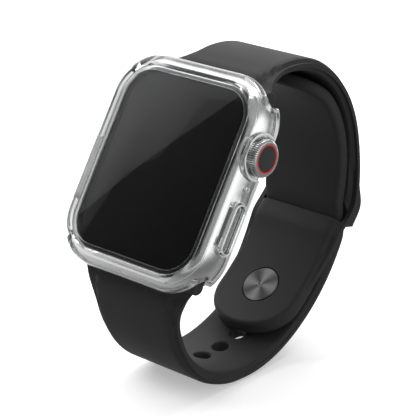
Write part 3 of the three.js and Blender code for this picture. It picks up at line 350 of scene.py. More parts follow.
def pill_x(length: float, width: float, profile: Sequence[Pair], y: float, z: float) -> Raw:
    """Lofts a pill along +X, long in Y.

    Args:
        length: Size over both round ends.
        width: Size across.
        profile: Inset and X place of each ring, in growing X.
        y: Middle in Y.
        z: Middle in Z.

    Returns:
        The lofted mesh.
    """
    rings = []
    for inset, x in profile:
        flat = pill_outline(length - 2 * inset, width - 2 * inset)
        rings.append(np.column_stack((np.full(len(flat), x), flat[:, 0] + y, flat[:, 1] + z)))
    return skin(rings)


def pill_z(length: float, width: float, profile: Sequence[Pair], y: float) -> Raw:
    """Lofts a pill along +Z, long in X, from inset and height pairs."""
    rings = [level(pill_outline(length - 2 * inset, width - 2 * inset) + (0.0, y), z) for inset, z in profile]
    return skin(rings)


# Blender helpers


def into_scene(name: str, data: bpy.types.ID) -> Piece:
    """Puts a new object in the scene.

    Args:
        name: Name of the object.
        data: Its mesh, camera or light.

    Returns:
        The object.
    """
    made = bpy.data.objects.new(name, data)
    bpy.context.scene.collection.objects.link(made)
    return made


def toward(azimuth: float, elevation: float) -> Triple:
    """Returns the direction at an azimuth from -Y toward +X and an elevation, both in degrees."""
    a, e = math.radians(azimuth), math.radians(elevation)
    return math.sin(a) * math.cos(e), -math.cos(a) * math.cos(e), math.sin(e)


class Workshop:
    """Makes finished Blender pieces out of raw meshes."""

    def __init__(self) -> None:
        """Builds every finish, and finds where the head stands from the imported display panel."""
        effects = Effects()
        self.paint = {finish.name: finish.build(effects) for finish in FINISHES}
        low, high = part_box("display_panel")
        turn = Matrix.Rotation(HEAD_TILT, 4, "X")
        middle = (low + high) / 2
        self.origin = middle - turn @ Vector((0, 0, PANEL_MIDDLE_Z * MM))
        self.stand = Matrix.Translation(self.origin) @ turn @ Matrix.Scale(MM, 4)

    def solid(self, raw: Raw, name: str = "blank") -> Piece:
        """Makes an object from a raw mesh, with its poles closed.

        Args:
            raw: The mesh to make.
            name: Name of the object.

        Returns:
            The object, still in the head's frame.
        """
        mesh = bpy.data.meshes.new(name)
        mesh.from_pydata(raw.points.tolist(), [], raw.faces)
        work = bmesh.new()
        work.from_mesh(mesh)
        bmesh.ops.remove_doubles(work, verts=work.verts, dist=MERGE_REACH)
        bmesh.ops.recalc_face_normals(work, faces=work.faces)
        work.to_mesh(mesh)
        work.free()
        return into_scene(name, mesh)

    def combine(self, base: Piece, others: Sequence[Raw | Piece], how: Cut) -> None:
        """Cuts, joins or keeps other solids with a base.

        Args:
            base: The object that is changed.
            others: The solids used on it, removed afterwards.
            how: What is done with them.
        """
        tools = [self.solid(other, "tool") if isinstance(other, Raw) else other for other in others]
        for tool in tools:
            change = base.modifiers.new("cut", "BOOLEAN")
            change.operation = how.value
            change.solver = "EXACT"
            change.object = tool
        self.bake(base)
        for tool in tools:
            bpy.data.objects.remove(tool)

    @staticmethod
    def bake(piece: Piece) -> None:
        """Turns a piece's live modifiers into its mesh."""
        bpy.context.view_layer.update()
        seen = piece.evaluated_get(bpy.context.evaluated_depsgraph_get())
        made = bpy.data.meshes.new_from_object(seen)
        piece.modifiers.clear()
        piece.data = made

    def grow(self, piece: Piece, tree: Tree, values: dict[str, object]) -> None:
        """Runs a geometry node tree on a piece and bakes what it makes.

        Args:
            piece: The object that the tree works on.
            tree: The tree.
            values: Values for its named inputs.
        """
        change = piece.modifiers.new("grown", "NODES")
        change.node_group = tree
        for item in tree.interface.items_tree:
            if item.in_out == "INPUT" and item.name in values:
                change[item.identifier] = values[item.name]
        self.bake(piece)

    def finish(
        self,
        piece: Piece,
        name: str,
        paint: str,
        body: str,
        slot: str,
        replaced: Sequence[str] = (),
        sharp: float = 32.0,
        second: str = "",
    ) -> None:
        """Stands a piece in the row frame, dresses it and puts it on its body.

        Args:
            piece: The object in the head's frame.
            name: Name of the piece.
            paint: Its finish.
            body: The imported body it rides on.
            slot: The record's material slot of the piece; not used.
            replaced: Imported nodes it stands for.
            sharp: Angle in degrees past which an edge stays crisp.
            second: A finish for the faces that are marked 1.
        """
        piece.name = name
        piece.data.name = name
        marks = [int(bool(second) and face.material_index == 1) for face in piece.data.polygons]
        piece.data.materials.clear()
        for word in (paint, second) if second else (paint,):
            piece.data.materials.append(self.paint[word])
        piece.data.polygons.foreach_set("material_index", marks)
        piece.data.transform(self.stand)
        piece.data.shade_smooth()
        piece.data.set_sharp_from_angle(angle=math.radians(sharp))
        piece.data.update()
        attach(piece, body)
        if replaced:
            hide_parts(*replaced)
        log.info("%s: %d faces on %s", name, len(piece.data.polygons), body)


# Finishes


class Nodes:
    """A short way to build a node tree."""

    def __init__(self, tree: Tree) -> None:
        """Keeps the tree that nodes go in."""
        self.tree = tree

    def add(self, kind: str, inputs: dict | None = None, **settings: object) -> Outputs:
        """Adds a node.

        Args:
            kind: Blender's name for the node.
            inputs: Values or sockets for its inputs, by name or number.
            settings: Its own settings.

        Returns:
            Its outputs.
        """
        node = self.tree.nodes.new(kind)
        for key, value in settings.items():
            setattr(node, key, value)
        self.feed(node, inputs or {})
        return node.outputs

    def feed(self, node: bpy.types.Node, inputs: dict) -> None:
        """Links or sets a node's inputs.

        Args:
            node: The node.
            inputs: Values or sockets for its inputs, by name or number.
        """
        for key, value in inputs.items():
            if isinstance(value, Socket):
                self.tree.links.new(value, node.inputs[key])
            else:
                node.inputs[key].default_value = value

    def effect(self, group: Tree, place: Socket, inputs: dict | None = None) -> Outputs:
        """Returns what one of the shared groups puts out at a place on the surface."""
        return self.add("ShaderNodeGroup", {"Place": place, **(inputs or {})}, node_tree=group)

    def math(self, operation: str, first: object, second: object = 0.0) -> Socket:
        """Returns the result of a Math node."""
        return self.add("ShaderNodeMath", {0: first, 1: second}, operation=operation)[0]

    def dot(self, first: Socket, second: Colour) -> Socket:
        """Returns the dot product of a direction with a fixed one."""
        inputs = {0: first, 1: second}
        return self.add("ShaderNodeVectorMath", inputs, operation="DOT_PRODUCT")["Value"]

    def ramp(
        self, source: Socket, low: float, high: float, to_low: float = 0.0, to_high: float = 1.0
    ) -> Socket:
        """Returns a value mapped from one range to another, clamped."""
        inputs = {0: source, 1: low, 2: high, 3: to_low, 4: to_high}
        return self.add("ShaderNodeMapRange", inputs, clamp=True)[0]

    def noise(self, place: Socket, scale: object, **values: float) -> Socket:
        """Returns a soft noise over the surface, with the node's further values."""
        return self.add("ShaderNodeTexNoise", {"Vector": place, "Scale": scale, **values})["Fac"]

    def bump(self, strength: float, distance: float, height: Socket) -> Socket:
        """Returns the normal bent by a fine relief."""
        inputs = {"Strength": strength, "Distance": distance, "Height": height}
        return self.add("ShaderNodeBump", inputs)["Normal"]

    def blend(self, share: object, first: object, second: object) -> Socket:
        """Returns a mix of two colours."""
        return self.add("ShaderNodeMix", {0: share, 6: first, 7: second}, data_type="RGBA")[2]

    def socket(self, name: str, kind: str, usual: float | None = None, out: bool = False) -> None:
        """Gives the tree an input or an output.

        Args:
            name: Name of the socket.
            kind: What it carries, as in Blender's own socket names.
            usual: Value that it starts with, if it needs one.
            out: Whether it is an output.
        """
        made = self.tree.interface.new_socket(
            name=name, in_out="OUTPUT" if out else "INPUT", socket_type=f"NodeSocket{kind}"
        )
        if usual is not None:
            made.default_value = usual

    def realise(self, source: Socket, material: Socket) -> None:
        """Ends a geometry tree with real meshes in their finish."""
        real = self.add("GeometryNodeRealizeInstances", {0: source})
        dressed = self.add("GeometryNodeSetMaterial", {0: real[0], "Material": material})
        self.add("NodeGroupOutput", {0: dressed[0]})


def rgba(colour: Colour) -> tuple[float, float, float, float]:
    """Returns a colour with full opacity."""
    return (*colour, 1.0)


def start_material(name: str, colour: Colour) -> tuple[Material, Nodes, bpy.types.Node]:
    """Starts a material on the Principled BSDF.

    Args:
        name: Name of the material.
        colour: Its plain colour.

    Returns:
        The material, its node builder and its shader.
    """
    material = bpy.data.materials.new(name)
    material.use_nodes = True
    material.diffuse_color = rgba(colour)
    return material, Nodes(material.node_tree), material.node_tree.nodes["Principled BSDF"]


def start_glow(name: str) -> tuple[Material, Nodes]:
    """Starts an empty studio material that the light sampling leaves alone.

    Args:
        name: Name of the material.

    Returns:
        The material and its node builder.
    """
    material = bpy.data.materials.new(name)
    material.use_nodes = True
    material.cycles.emission_sampling = "NONE"
    material.node_tree.nodes.clear()
    return material, Nodes(material.node_tree)


class Effects:
    """Shader groups that several finishes share."""

    def __init__(self) -> None:
        """Builds each group once."""
        self.grain = self._grain()
        self.smudge = self._smudge()

    @staticmethod
    def _group(name: str, inputs: dict[str, float], outputs: Sequence[str]) -> Nodes:
        """Starts a group that takes a place on the surface.

        Args:
            name: Name of the group.
            inputs: Number inputs with their usual values.
            outputs: Names of its number outputs.

        Returns:
            The group's builder.
        """
        nodes = Nodes(bpy.data.node_groups.new(name, "ShaderNodeTree"))
        nodes.socket("Place", "Vector")
        for key, value in inputs.items():
            nodes.socket(key, "Float", value)
        for key in outputs:
            nodes.socket(key, "Float", out=True)
        return nodes

    def _grain(self) -> Tree:
        """Builds the group for a moulded or blasted skin.

        Returns:
            The group, which puts out a fine height and a slow tone.
        """
        nodes = self._group("surface_grain", {"Scale": 3000.0, "Slow Scale": 60.0}, ("Height", "Tone"))
        given = nodes.add("NodeGroupInput")
        fine = nodes.noise(given["Place"], given["Scale"], Detail=3.0, Roughness=0.6)
        slow = nodes.noise(given["Place"], given["Slow Scale"], Detail=4.0)
        nodes.add("NodeGroupOutput", {"Height": fine, "Tone": nodes.ramp(slow, *NOISE_RANGE)})
        return nodes.tree

    def _smudge(self) -> Tree:
        """Builds the group for handling marks.

        Returns:
            The group, which puts out soft cloudy patches.
        """
        nodes = self._group("handling_marks", {"Scale": 45.0}, ("Cloud",))
        given = nodes.add("NodeGroupInput")
        cloud = nodes.noise(given["Place"], given["Scale"], Detail=5.0, Roughness=0.55, Distortion=0.6)
        nodes.add("NodeGroupOutput", {"Cloud": nodes.ramp(cloud, *CLOUD_RANGE)})
        return nodes.tree


@dataclass(frozen=True)
class Finish:
    """An opaque finish: two close tones, gloss with handling marks, and a fine relief."""

    name: str
    colour: Colour
    second: Colour
    roughness: float = 0.5
    roughness_spread: float = 0.06
    metallic: float = 0.0
    specular: float = 0.5
    grain_scale: float = 3000.0
    slow_scale: float = 60.0
    grain_depth: float = 0.000004
    grain_strength: float = 0.3
    coat: float = 0.0
    coat_roughness: float = 0.05

    def build(self, effects: Effects) -> Material:
        """Builds the material.

        Args:
            effects: The shared shader groups.

        Returns:
            The material.
        """
        material, nodes, shader = start_material(self.name, self.colour)
        place = nodes.add("ShaderNodeTexCoord")["Object"]
        grain = nodes.effect(effects.grain, place, {"Scale": self.grain_scale, "Slow Scale": self.slow_scale})
        marks = nodes.effect(effects.smudge, place)
        duller = min(1.0, self.roughness + self.roughness_spread)
        nodes.feed(shader, {
            "Base Color": nodes.blend(grain["Tone"], rgba(self.colour), rgba(self.second)),
            "Roughness": nodes.ramp(marks["Cloud"], 0.0, 1.0, self.roughness, duller),
            "Normal": nodes.bump(self.grain_strength, self.grain_depth, grain["Height"]),
            "Metallic": self.metallic,
            "Specular IOR Level": self.specular,
            "Coat Weight": self.coat,
            "Coat Roughness": self.coat_roughness,
        })
        return material


@dataclass(frozen=True)
class ClearFinish:
    """A clear moulded or cut sheet finish with faint flow marks."""

    name: str
    colour: Colour = (0.985, 0.99, 0.992)
    roughness: float = 0.015
    ior: float = 1.49
    ripple_scale: float = 140.0
    ripple_depth: float = 0.00002
    ripple_strength: float = 0.06
    smudge_share: float = 2.5
    shown_opacity: float = 0.3

    def build(self, effects: Effects) -> Material:
        """Builds the material.

        Args:
            effects: The shared shader groups.

        Returns:
            The material.
        """
        material, nodes, shader = start_material(self.name, self.colour)
        material.diffuse_color = (*self.colour, self.shown_opacity)
        place = nodes.add("ShaderNodeTexCoord")["Object"]
        marks = nodes.effect(effects.smudge, place)
        ripple = nodes.noise(place, self.ripple_scale, Detail=2.0)
        duller = self.roughness * self.smudge_share
        nodes.feed(shader, {
            "Base Color": rgba(self.colour),
            "Roughness": nodes.ramp(marks["Cloud"], 0.0, 1.0, self.roughness, duller),
            "Normal": nodes.bump(self.ripple_strength, self.ripple_depth, ripple),
            "Transmission Weight": 1.0,
            "IOR": self.ior,
        })
        return material


@dataclass(frozen=True)
class TurnedFinish:
    """Steel faced on a lathe: fine rings round the disc's own polar map, and a painted sheen of light and
    dark wedges round the disc.
    """

    name: str
    colour: Colour = (0.125, 0.125, 0.126)
    roughness: float = 0.34
    anisotropy: float = 0.8
    ring_count: float = 70.0
    ring_strength: float = 0.25
    ring_depth: float = 0.00002
    ring_tone: float = 0.85
    ring_gloss: float = 0.15
    # Painted sheen: how many light and dark wedges go round the disc, and how dark the dark ones are.
    sheen_wedges: float = 4.0
    sheen_wedge_tone: float = 0.3
    quarter_turn: float = 0.25
    uv_name: str = "polar"

    def build(self, effects: Effects) -> Material:
        """Builds the material.

        Args:
            effects: The shared shader groups; not used.

        Returns:
            The material.
        """
        material, nodes, shader = start_material(self.name, self.colour)
        polar = nodes.add("ShaderNodeUVMap", uv_map=self.uv_name)["UV"]
        turn, reach = nodes.add("ShaderNodeSeparateXYZ", {0: polar})[:2]
        rings = nodes.add(
            "ShaderNodeTexNoise",
            {"W": nodes.math("MULTIPLY", reach, self.ring_count), "Scale": 1.0, "Detail": 4.0},
            noise_dimensions="1D",
        )["Fac"]
        # Painted reflection: light and dark wedges round the disc stand in for the sheen of turned steel; the
        # noise rings are real turning marks.
        painted_sheen_wave = nodes.math("COSINE", nodes.math("MULTIPLY", turn, 2 * math.pi * self.sheen_wedges))
        ring = nodes.ramp(rings, *NOISE_RANGE, self.ring_tone, 1.0)
        shade = nodes.math("MULTIPLY", nodes.ramp(painted_sheen_wave, -1.0, 1.0), ring)
        painted_dark_wedge = tuple(value * self.sheen_wedge_tone for value in self.colour)
        gloss = (self.roughness * (1 - self.ring_gloss), self.roughness * (1 + self.ring_gloss))
        tangent = nodes.add("ShaderNodeTangent", direction_type="UV_MAP", uv_map=self.uv_name)
        nodes.feed(shader, {
            "Base Color": nodes.blend(shade, rgba(painted_dark_wedge), rgba(self.colour)),
            "Roughness": nodes.ramp(rings, *NOISE_RANGE, *gloss),
            "Normal": nodes.bump(self.ring_strength, self.ring_depth, rings),
            "Tangent": tangent["Tangent"],
            "Metallic": 1.0,
            "Anisotropic": self.anisotropy,
            "Anisotropic Rotation": self.quarter_turn,
        })
        return material


FINISHES: tuple[Finish | ClearFinish | TurnedFinish, ...] = (
    Finish("anodised_aluminium", (0.72, 0.721, 0.724), (0.67, 0.671, 0.674), 0.2, 0.03, 1.0,
           grain_scale=9000.0, grain_depth=0.000002, grain_strength=0.15),
    Finish("black_cover_glass", (0.004, 0.004, 0.0045), (0.003, 0.003, 0.0035), 0.012, 0.01, 0.0,
           grain_scale=400.0, grain_depth=0.000001, grain_strength=0.02),
    Finish("dark_sensor_glass", (0.012, 0.012, 0.014), (0.008, 0.008, 0.01), 0.04, 0.03, 0.0, coat=0.6),
    Finish("back_ceramic_glaze", (0.028, 0.028, 0.03), (0.022, 0.022, 0.024), 0.16, 0.06, 0.0, coat=0.4),
    Finish("dark_moulded_plastic", (0.016, 0.016, 0.017), (0.012, 0.012, 0.013), 0.42, 0.08,
           grain_depth=0.00001),
    Finish("board_mask", (0.012, 0.055, 0.03), (0.008, 0.04, 0.024), 0.35, 0.1, coat=0.4, slow_scale=900.0),
    Finish("cell_pouch", (0.3, 0.305, 0.315), (0.24, 0.245, 0.255), 0.36, 0.1, 0.8, slow_scale=300.0),
    Finish("winding_copper", (0.62, 0.3, 0.16), (0.5, 0.22, 0.11), 0.3, 0.08, 1.0, slow_scale=500.0),
    Finish("bush_brass", (0.6, 0.46, 0.22), (0.52, 0.4, 0.19), 0.3, 0.08, 1.0),
    Finish("inlay_orange_red", (0.92, 0.026, 0.014), (0.85, 0.022, 0.012), 0.35, 0.05, coat=0.1),
    Finish("crown_cap_sapphire", (0.023, 0.023, 0.023), (0.021, 0.021, 0.021), 0.3, 0.05),
    # Darker metal for the crown's wheel body, seen between the teeth: painted shade in the knurl grooves.
    Finish("crown_groove_metal", (0.3, 0.3, 0.3), (0.25, 0.25, 0.25), 0.35, 0.05, 1.0),
    # Opaque near-white finish on the clear frame's edges and rims: a painted highlight in place of the light
    # that clear edges catch.
    Finish("protector_bright_edge", (0.95, 0.955, 0.96), (0.9, 0.905, 0.91), 0.2, 0.04, 0.1, 0.8,
           grain_depth=0.000002),
    Finish("pin_steel", (0.55, 0.55, 0.56), (0.48, 0.48, 0.49), 0.26, 0.08, 1.0, grain_scale=5000.0),
    Finish("seal_rubber", (0.014, 0.014, 0.014), (0.01, 0.01, 0.01), 0.62, 0.1, grain_depth=0.00001),
    Finish("strap_elastomer", (0.033, 0.0324, 0.032), (0.0302, 0.0298, 0.0294), 0.56, 0.05, 0.0, 0.14,
           grain_scale=5200.0, slow_scale=35.0, grain_depth=0.000012, grain_strength=0.35),
    ClearFinish("protector_clear_moulding"),
    ClearFinish("pane_clear_sheet", ripple_strength=0.0, roughness=0.004),
    ClearFinish("pane_bond_film", colour=(0.97, 0.975, 0.98), roughness=0.05, ior=1.46),
    TurnedFinish("stud_turned_steel"),
)


# The band


class BandLoop:
    """Closed line of the band in the head's Y-Z plane, from the 6 o'clock bead to the 12 o'clock bead."""

    HALF_WIDTH = 34.5
    LOWER = 28.0
    UPPER = 26.0
    SHIFT = -1.5
    CENTRE = -17.0
    END_BLEND = 9.0
    SAMPLES = 6000
    NUDGE_SHARE = 1e-4

    def __init__(self, bead_y: float, bead_z: float) -> None:
        """Measures the line.

        Args:
            bead_y: Distance of each bead from the middle of the case.
            bead_z: Height of the beads.
        """
        self.start = math.acos((-bead_y - self.SHIFT) / self.HALF_WIDTH)
        self.end = 2 * math.pi + math.acos((bead_y - self.SHIFT) / self.HALF_WIDTH)
        self.start_lift = bead_z - self._oval(np.array([self.start]))[0, 1]
        self.end_lift = bead_z - self._oval(np.array([self.end]))[0, 1]
        self.end_share = self.END_BLEND / (self.HALF_WIDTH * (self.end - self.start))
        self.shares = np.linspace(0, 1, self.SAMPLES)
        steps = np.linalg.norm(np.diff(self.points(self.shares), axis=0), axis=1)
        self.travel = np.concatenate(([0.0], np.cumsum(steps)))
        self.length = float(self.travel[-1])

    def _oval(self, angle: Array) -> Array:
        """Finds places on the oval before its ends are lifted to the beads.

        Args:
            angle: Angles round the oval.

        Returns:
            Places as Y and Z, one row each.
        """
        rise = np.where(np.sin(angle) > 0, self.UPPER, self.LOWER)
        y = self.SHIFT + self.HALF_WIDTH * np.cos(angle)
        return np.column_stack((y, self.CENTRE + rise * np.sin(angle)))

    def points(self, share: Array) -> Array:
        """Finds places on the line.

        Args:
            share: Shares of the line's own parameter.

        Returns:
            Places as Y and Z, one row each.
        """
        made = self._oval(self.start + (self.end - self.start) * share)
        for lift, left in ((self.start_lift, share), (self.end_lift, 1 - share)):
            made[:, 1] += lift * ease(1 - left / self.end_share)
        return made

    def frame(self, distance: Array) -> tuple[Array, Array]:
        """Finds the line at distances from its start.

        Args:
            distance: Distances in millimetres.

        Returns:
            Places on the line and outward directions, both as Y and Z.
        """
        share = np.interp(np.clip(distance, 0, self.length), self.travel, self.shares)
        ahead = self.points(np.clip(share + self.NUDGE_SHARE, 0, 1))
        along = ahead - self.points(np.clip(share - self.NUDGE_SHARE, 0, 1))
        along /= np.linalg.norm(along, axis=1)[:, None]
        return self.points(share), np.column_stack((along[:, 1], -along[:, 0]))

    def spot(self, distance: float) -> tuple[Array, Array]:
        """Returns one place on the line and its outward direction, in the head's frame."""
        centre, outward = self.frame(np.array([distance]))
        return np.array((0, *centre[0])), np.array((0, *outward[0]))


@dataclass
class Band:
    """Two elastomer straps that cross in the keeper, the stud that holds them and the beads at their lugs."""

    shop: Workshop
    thickness: float = 2.9
    edge: float = 1.0
    edge_share: float = 1 / 2.2
    width: float = 23.2
    tail_width: float = 21.2
    pin_end_width: float = 21.6
    pin_end_thickness: float = 3.6
    neck_thickness: float = 2.0
    neck_length: float = 2.4
    neck_blend: float = 3.2
    flare_length: float = 12.0
    lug_width: float = 33.6
    bead_radius: float = 1.65
    bead_y: float = 20.0
    bead_z: float = 4.06
    layer_gap: float = 0.5
    pin_end_gap: float = 0.75
    tail_lift: float = 0.6
    tail_lift_start: float = 12.0
    tail_reach: float = 43.5
    crossing_length: float = 10.0
    keeper_share: float = 0.567
    keeper_bulge: float = 1.3
    lip_up: float = 8.6
    lip_down: float = 1.7
    lip_edge: float = 0.4
    slot_side_gap: float = 0.8
    keeper_web: float = 1.1
    stud_to_keeper: float = 22.6
    pin_end_reach: float = 13.2
    stand_flat: float = 0.35
    hole_radius: float = 1.9
    hole_pitch: float = 6.2
    hole_rim: float = 0.28
    hole_overrun: float = 1.0
    holes_to_lug: int = 4
    holes_to_tail: int = 2
    bead_round: float = 0.5
    catch_radius: float = 0.9
    catch_depth: float = 1.1
    disc_radius: float = 4.3
    disc_thickness: float = 0.8
    disc_proud: float = 0.1
    disc_bevel: float = 0.14
    disc_ring_insets: tuple[float, ...] = (3.4, 2.2, 1.1, 0.4)
    seat_flare: float = 0.15
    seat_flare_low: float = 0.05
    seat_flare_high: float = 0.2
    shank_radius: float = 1.5
    shank_bore_length: float = 4.0
    knob_radius: float = 2.4
    knob_thickness: float = 1.1
    knob_round: float = 0.35
    knob_top_round: float = 0.49
    knob_bore_round: float = 0.1
    spigot_radius: float = 0.9
    seat_gap: float = 0.1
    fit_gap: float = 0.3
    step: float = 0.55
    cross_steps: int = 15
    round_steps: int = 5
    bevel_steps: int = 4
    knob_steps: int = 6
    end_steps: int = 34
    end_turn: float = 0.05
    ground_steps: int = 1200
    ground_reach: float = 40.0
    loop: BandLoop = field(init=False)

    def __post_init__(self) -> None:
        """Measures the loop and the places along it."""
        self.loop = BandLoop(self.bead_y, self.bead_z)
        self.keeper = self.loop.length * self.keeper_share
        self.stud = self.keeper - self.stud_to_keeper
        self.pin_end = self.stud - self.pin_end_reach
        self.tail = self.keeper + self.tail_reach
        self.lip = self.keeper - self.lip_down
        self.pitch = self.thickness + self.layer_gap
        self.keeper_width = self.tail_width + 2 * (self.slot_side_gap + self.keeper_web)

    def crossing(self, at: Array) -> Array:
        """Returns how far the straps have changed places: 0 below the keeper, 1 above it."""
        return ease((at - self.keeper) / self.crossing_length + 0.5)

    def neck(self, from_lug: Array) -> Array:
        """Returns the thickness near a lug."""
        return mix(self.neck_thickness, self.thickness, ease((from_lug - self.neck_length) / self.neck_blend))

    def flare(self, from_lug: Array, width: Array) -> Array:
        """Returns the half width near a lug, where it falls away in a concave flare."""
        left = np.maximum(0, 1 - from_lug / self.flare_length)
        return width / 2 + (self.lug_width - width) / 2 * left**2

    def long_offset(self, at: Array) -> Array:
        """Returns how far the holed strap lies from the loop."""
        lift_length = self.tail_reach - self.tail_lift_start
        lifted = ease((at - self.keeper - self.tail_lift_start) / lift_length)
        return -self.crossing(at) * (self.pitch + self.tail_lift * lifted)

    def long_half_width(self, at: Array) -> Array:
        """Returns the holed strap's half width before its end is rounded."""
        return self.flare(at, mix(self.width, self.tail_width, ease(at / self.keeper)))

    def end_share(self, at: Array) -> Array:
        """Returns how far the pin strap has grown into its thicker end."""
        return ease((self.keeper - at) / self.stud_to_keeper)

    def pin_layer(self, at: Array) -> Array:
        """Returns the pin strap's own thickness."""
        growth = self.pin_end_thickness - self.thickness
        return self.neck(self.loop.length - at) + growth * self.end_share(at)

    def pin_offset(self, at: Array) -> Array:
        """Returns how far the pin strap lies from the loop."""
        end_pitch = (self.thickness + self.pin_end_thickness) / 2 + self.pin_end_gap
        return -(1 - self.crossing(at)) * mix(self.pitch, end_pitch, self.end_share(at))

    def pin_inner(self, at: Array) -> Array:
        """Returns the pin strap's inner face."""
        return self.pin_offset(at) - self.pin_layer(at) / 2

    def pin_outer(self, at: Array) -> Array:
        """Draws the pin strap's outer face, with the keeper's lip over the holed strap.

        Args:
            at: Distances along the loop.

        Returns:
            Heights over the loop.
        """
        share = (at - self.lip) / (self.lip_down + self.lip_up)
        swell = ease(2 * np.minimum(share, 1 - share))
        layer = self.pin_layer(at) / 2
        lip = layer + self.keeper_bulge * swell
        return mix(self.pin_offset(at) + layer, lip, np.clip((at - self.lip) / self.lip_edge, 0, 1))

    def pin_half_width(self, at: Array) -> Array:
        """Draws the pin strap's half width before its end is rounded.

        Args:
            at: Distances along the loop.

        Returns:
            Half widths.
        """
        near = ease(1 - np.abs(at - self.keeper) / (2 * self.crossing_length))
        own = mix(self.width, self.pin_end_width, self.end_share(at))
        return self.flare(self.loop.length - at, mix(own, self.keeper_width, near))

    def sweep(
        self,
        places: Array,
        half_width: Callable[[Array], Array],
        outer: Callable[[Array], Array],
        inner: Callable[[Array], Array],
        round_from: float | None = None,
    ) -> Raw:
        """Skins a strap along the loop, its edges rounded all the way round a round end.

        Args:
            places: Distances of the sections.
            half_width: Half width at a distance.
            outer: Outer face at a distance.
            inner: Inner face at a distance.
            round_from: Distance of a round end, if it has one.

        Returns:
            The strap's mesh.
        """
        wide = half_width(places)
        end_radius = wide.copy()
        reach = np.full(len(places), np.inf)
        if round_from is not None:
            reach = np.abs(places - round_from)
            end_radius = np.full(len(places), float(half_width(np.array([round_from]))[0]))
        near_end = reach < end_radius
        left = np.where(near_end, end_radius - reach, 0.0)
        shown = np.where(near_end, wide * np.sqrt(np.maximum(1 - (left / end_radius) ** 2, 0)), wide)
        turn = np.linspace(0, np.pi / 2, self.cross_steps)
        across = np.concatenate((-np.sin(turn[::-1]), np.sin(turn)[1:]))
        x = shown[:, None] * across[None, :]
        depth = np.minimum(wide[:, None] - np.abs(x), end_radius[:, None] - np.hypot(x, left[:, None]))
        high, low = outer(places)[:, None], inner(places)[:, None]
        edge = np.minimum(self.edge, (high - low) * self.edge_share)
        dip = edge - np.sqrt(np.maximum(edge**2 - (edge - np.clip(depth, 0, edge)) ** 2, 0))
        centre, outward = self.loop.frame(places)
        rows = []
        for face, flip in ((low + dip, 1), (high - dip, -1)):
            y = centre[:, 0:1] + outward[:, 0:1] * face
            z = centre[:, 1:2] + outward[:, 1:2] * face
            rows.append(np.stack((x, y, z), -1)[:, ::flip])
        return skin(np.concatenate(rows, axis=1))

    def places(self, low: float, high: float, round_at: float, extra: Sequence[float] = ()) -> Array:
        """Chooses the sections of a strap: even steps, closer at its round end.

        Args:
            low: First distance.
            high: Last distance.
            round_at: Which of the two is the round end.
            extra: Distances that also get a section.

        Returns:
            Distances in order. The round end itself isn't among them.
        """
        radius = self.tail_width / 2
        even = [at for at in np.arange(low, high, self.step).tolist() if abs(at - round_at) > radius]
        turn = np.linspace(self.end_turn, np.pi / 2, self.end_steps)
        sign = 1 if round_at <= low else -1
        even += (round_at + sign * radius * (1 - np.cos(turn))).tolist()
        plain_end = high if round_at == low else low
        return np.array([at for at in sorted({*even, *extra, plain_end}) if low <= at <= high])

    def on_loop(self, raw: Raw, distance: float) -> Raw:
        """Stands a part that is turned about +Z on the loop, along the outward direction.

        Args:
            raw: The part.
            distance: Where it stands.

        Returns:
            The part in its place.
        """
        centre, (_, y, z) = self.loop.spot(distance)
        return raw.turned(np.array(((1, 0, 0), (0, z, y), (0, -y, z)))).moved(*centre)

    def bead(self, side: Side) -> Raw:
        """Draws the round bead that slides in the case, with rounded ends.

        Args:
            side: End of the case that it belongs to.

        Returns:
            The bead.
        """
        half, radius, soft = self.lug_width / 2, self.bead_radius, self.bead_round
        corner = arc((radius - soft, -half), (radius, soft - half), self.round_steps, False)
        profile = [(0.0, -half), *corner, *[(r, -h) for r, h in reversed(corner)], (0.0, half)]
        return lathe(profile, Sides.ROD, Axis.X).moved(0, side.value * self.bead_y, self.bead_z)

    def catch_pocket(self, side: Side) -> Raw:
        """Draws the cutter for the catch under a bead.

        Args:
            side: End of the case that the bead belongs to.

        Returns:
            The cutter.
        """
        floor = self.bead_z - self.bead_radius
        pocket = rod(self.catch_radius, floor - CUT_OVERRUN, floor + self.catch_depth, Sides.PIN, Axis.Z)
        return pocket.moved(0, side.value * self.bead_y)

    def hole(self, distance: float) -> Raw:
        """Draws the cutter for a strap hole with soft rims.

        Args:
            distance: Where the hole is.

        Returns:
            The cutter.
        """
        offset = float(self.long_offset(np.array([distance]))[0])
        half, rim, radius = self.thickness / 2, self.hole_rim, self.hole_radius
        mouth = arc((radius + rim, half), (radius, half - rim), self.round_steps, False)
        up = [(radius + rim, half + self.hole_overrun), *mouth]
        profile = [(r, offset - h) for r, h in up] + [(r, offset + h) for r, h in reversed(up)]
        return self.on_loop(lathe(profile, Sides.HOLE), distance)

    def ground(self) -> Raw:
        """Draws the block that flattens the band where it stands.

        Returns:
            The cutter.
        """
        centre, outward = self.loop.frame(np.linspace(0, self.loop.length, self.ground_steps))
        c, s = math.cos(HEAD_TILT), math.sin(HEAD_TILT)
        height = (centre + outward * self.thickness / 2) @ (s, c)
        top, reach = height.min() + self.stand_flat, self.ground_reach
        square = ((-reach, -reach), (reach, -reach), (reach, reach), (-reach, reach))
        return block(square, top - reach, top).turned(np.array(((1, 0, 0), (0, c, s), (0, -s, c))))

    def make(self) -> None:
        """Makes both straps, the stud and its knob."""
        shop = self.shop
        half = self.thickness / 2 + self.fit_gap
        long = shop.solid(
            self.sweep(
                self.places(0.0, self.tail, self.tail),
                self.long_half_width,
                lambda s: self.long_offset(s) + self.neck(s) / 2,
                lambda s: self.long_offset(s) - self.neck(s) / 2,
                self.tail,
            )
        )
        shop.combine(long, [self.bead(Side.LOWER)], Cut.JOIN)
        cutters = [self.catch_pocket(Side.LOWER), self.ground()]
        for number in range(-self.holes_to_lug, self.holes_to_tail + 1):
            cutters.append(self.hole(self.stud + number * self.hole_pitch))
        shop.combine(long, cutters, Cut.SUBTRACT)
        shop.finish(long, "hole_strap_moulding", "strap_elastomer", "hole_strap", "strap_elastomer",
                    ["hole_strap"])

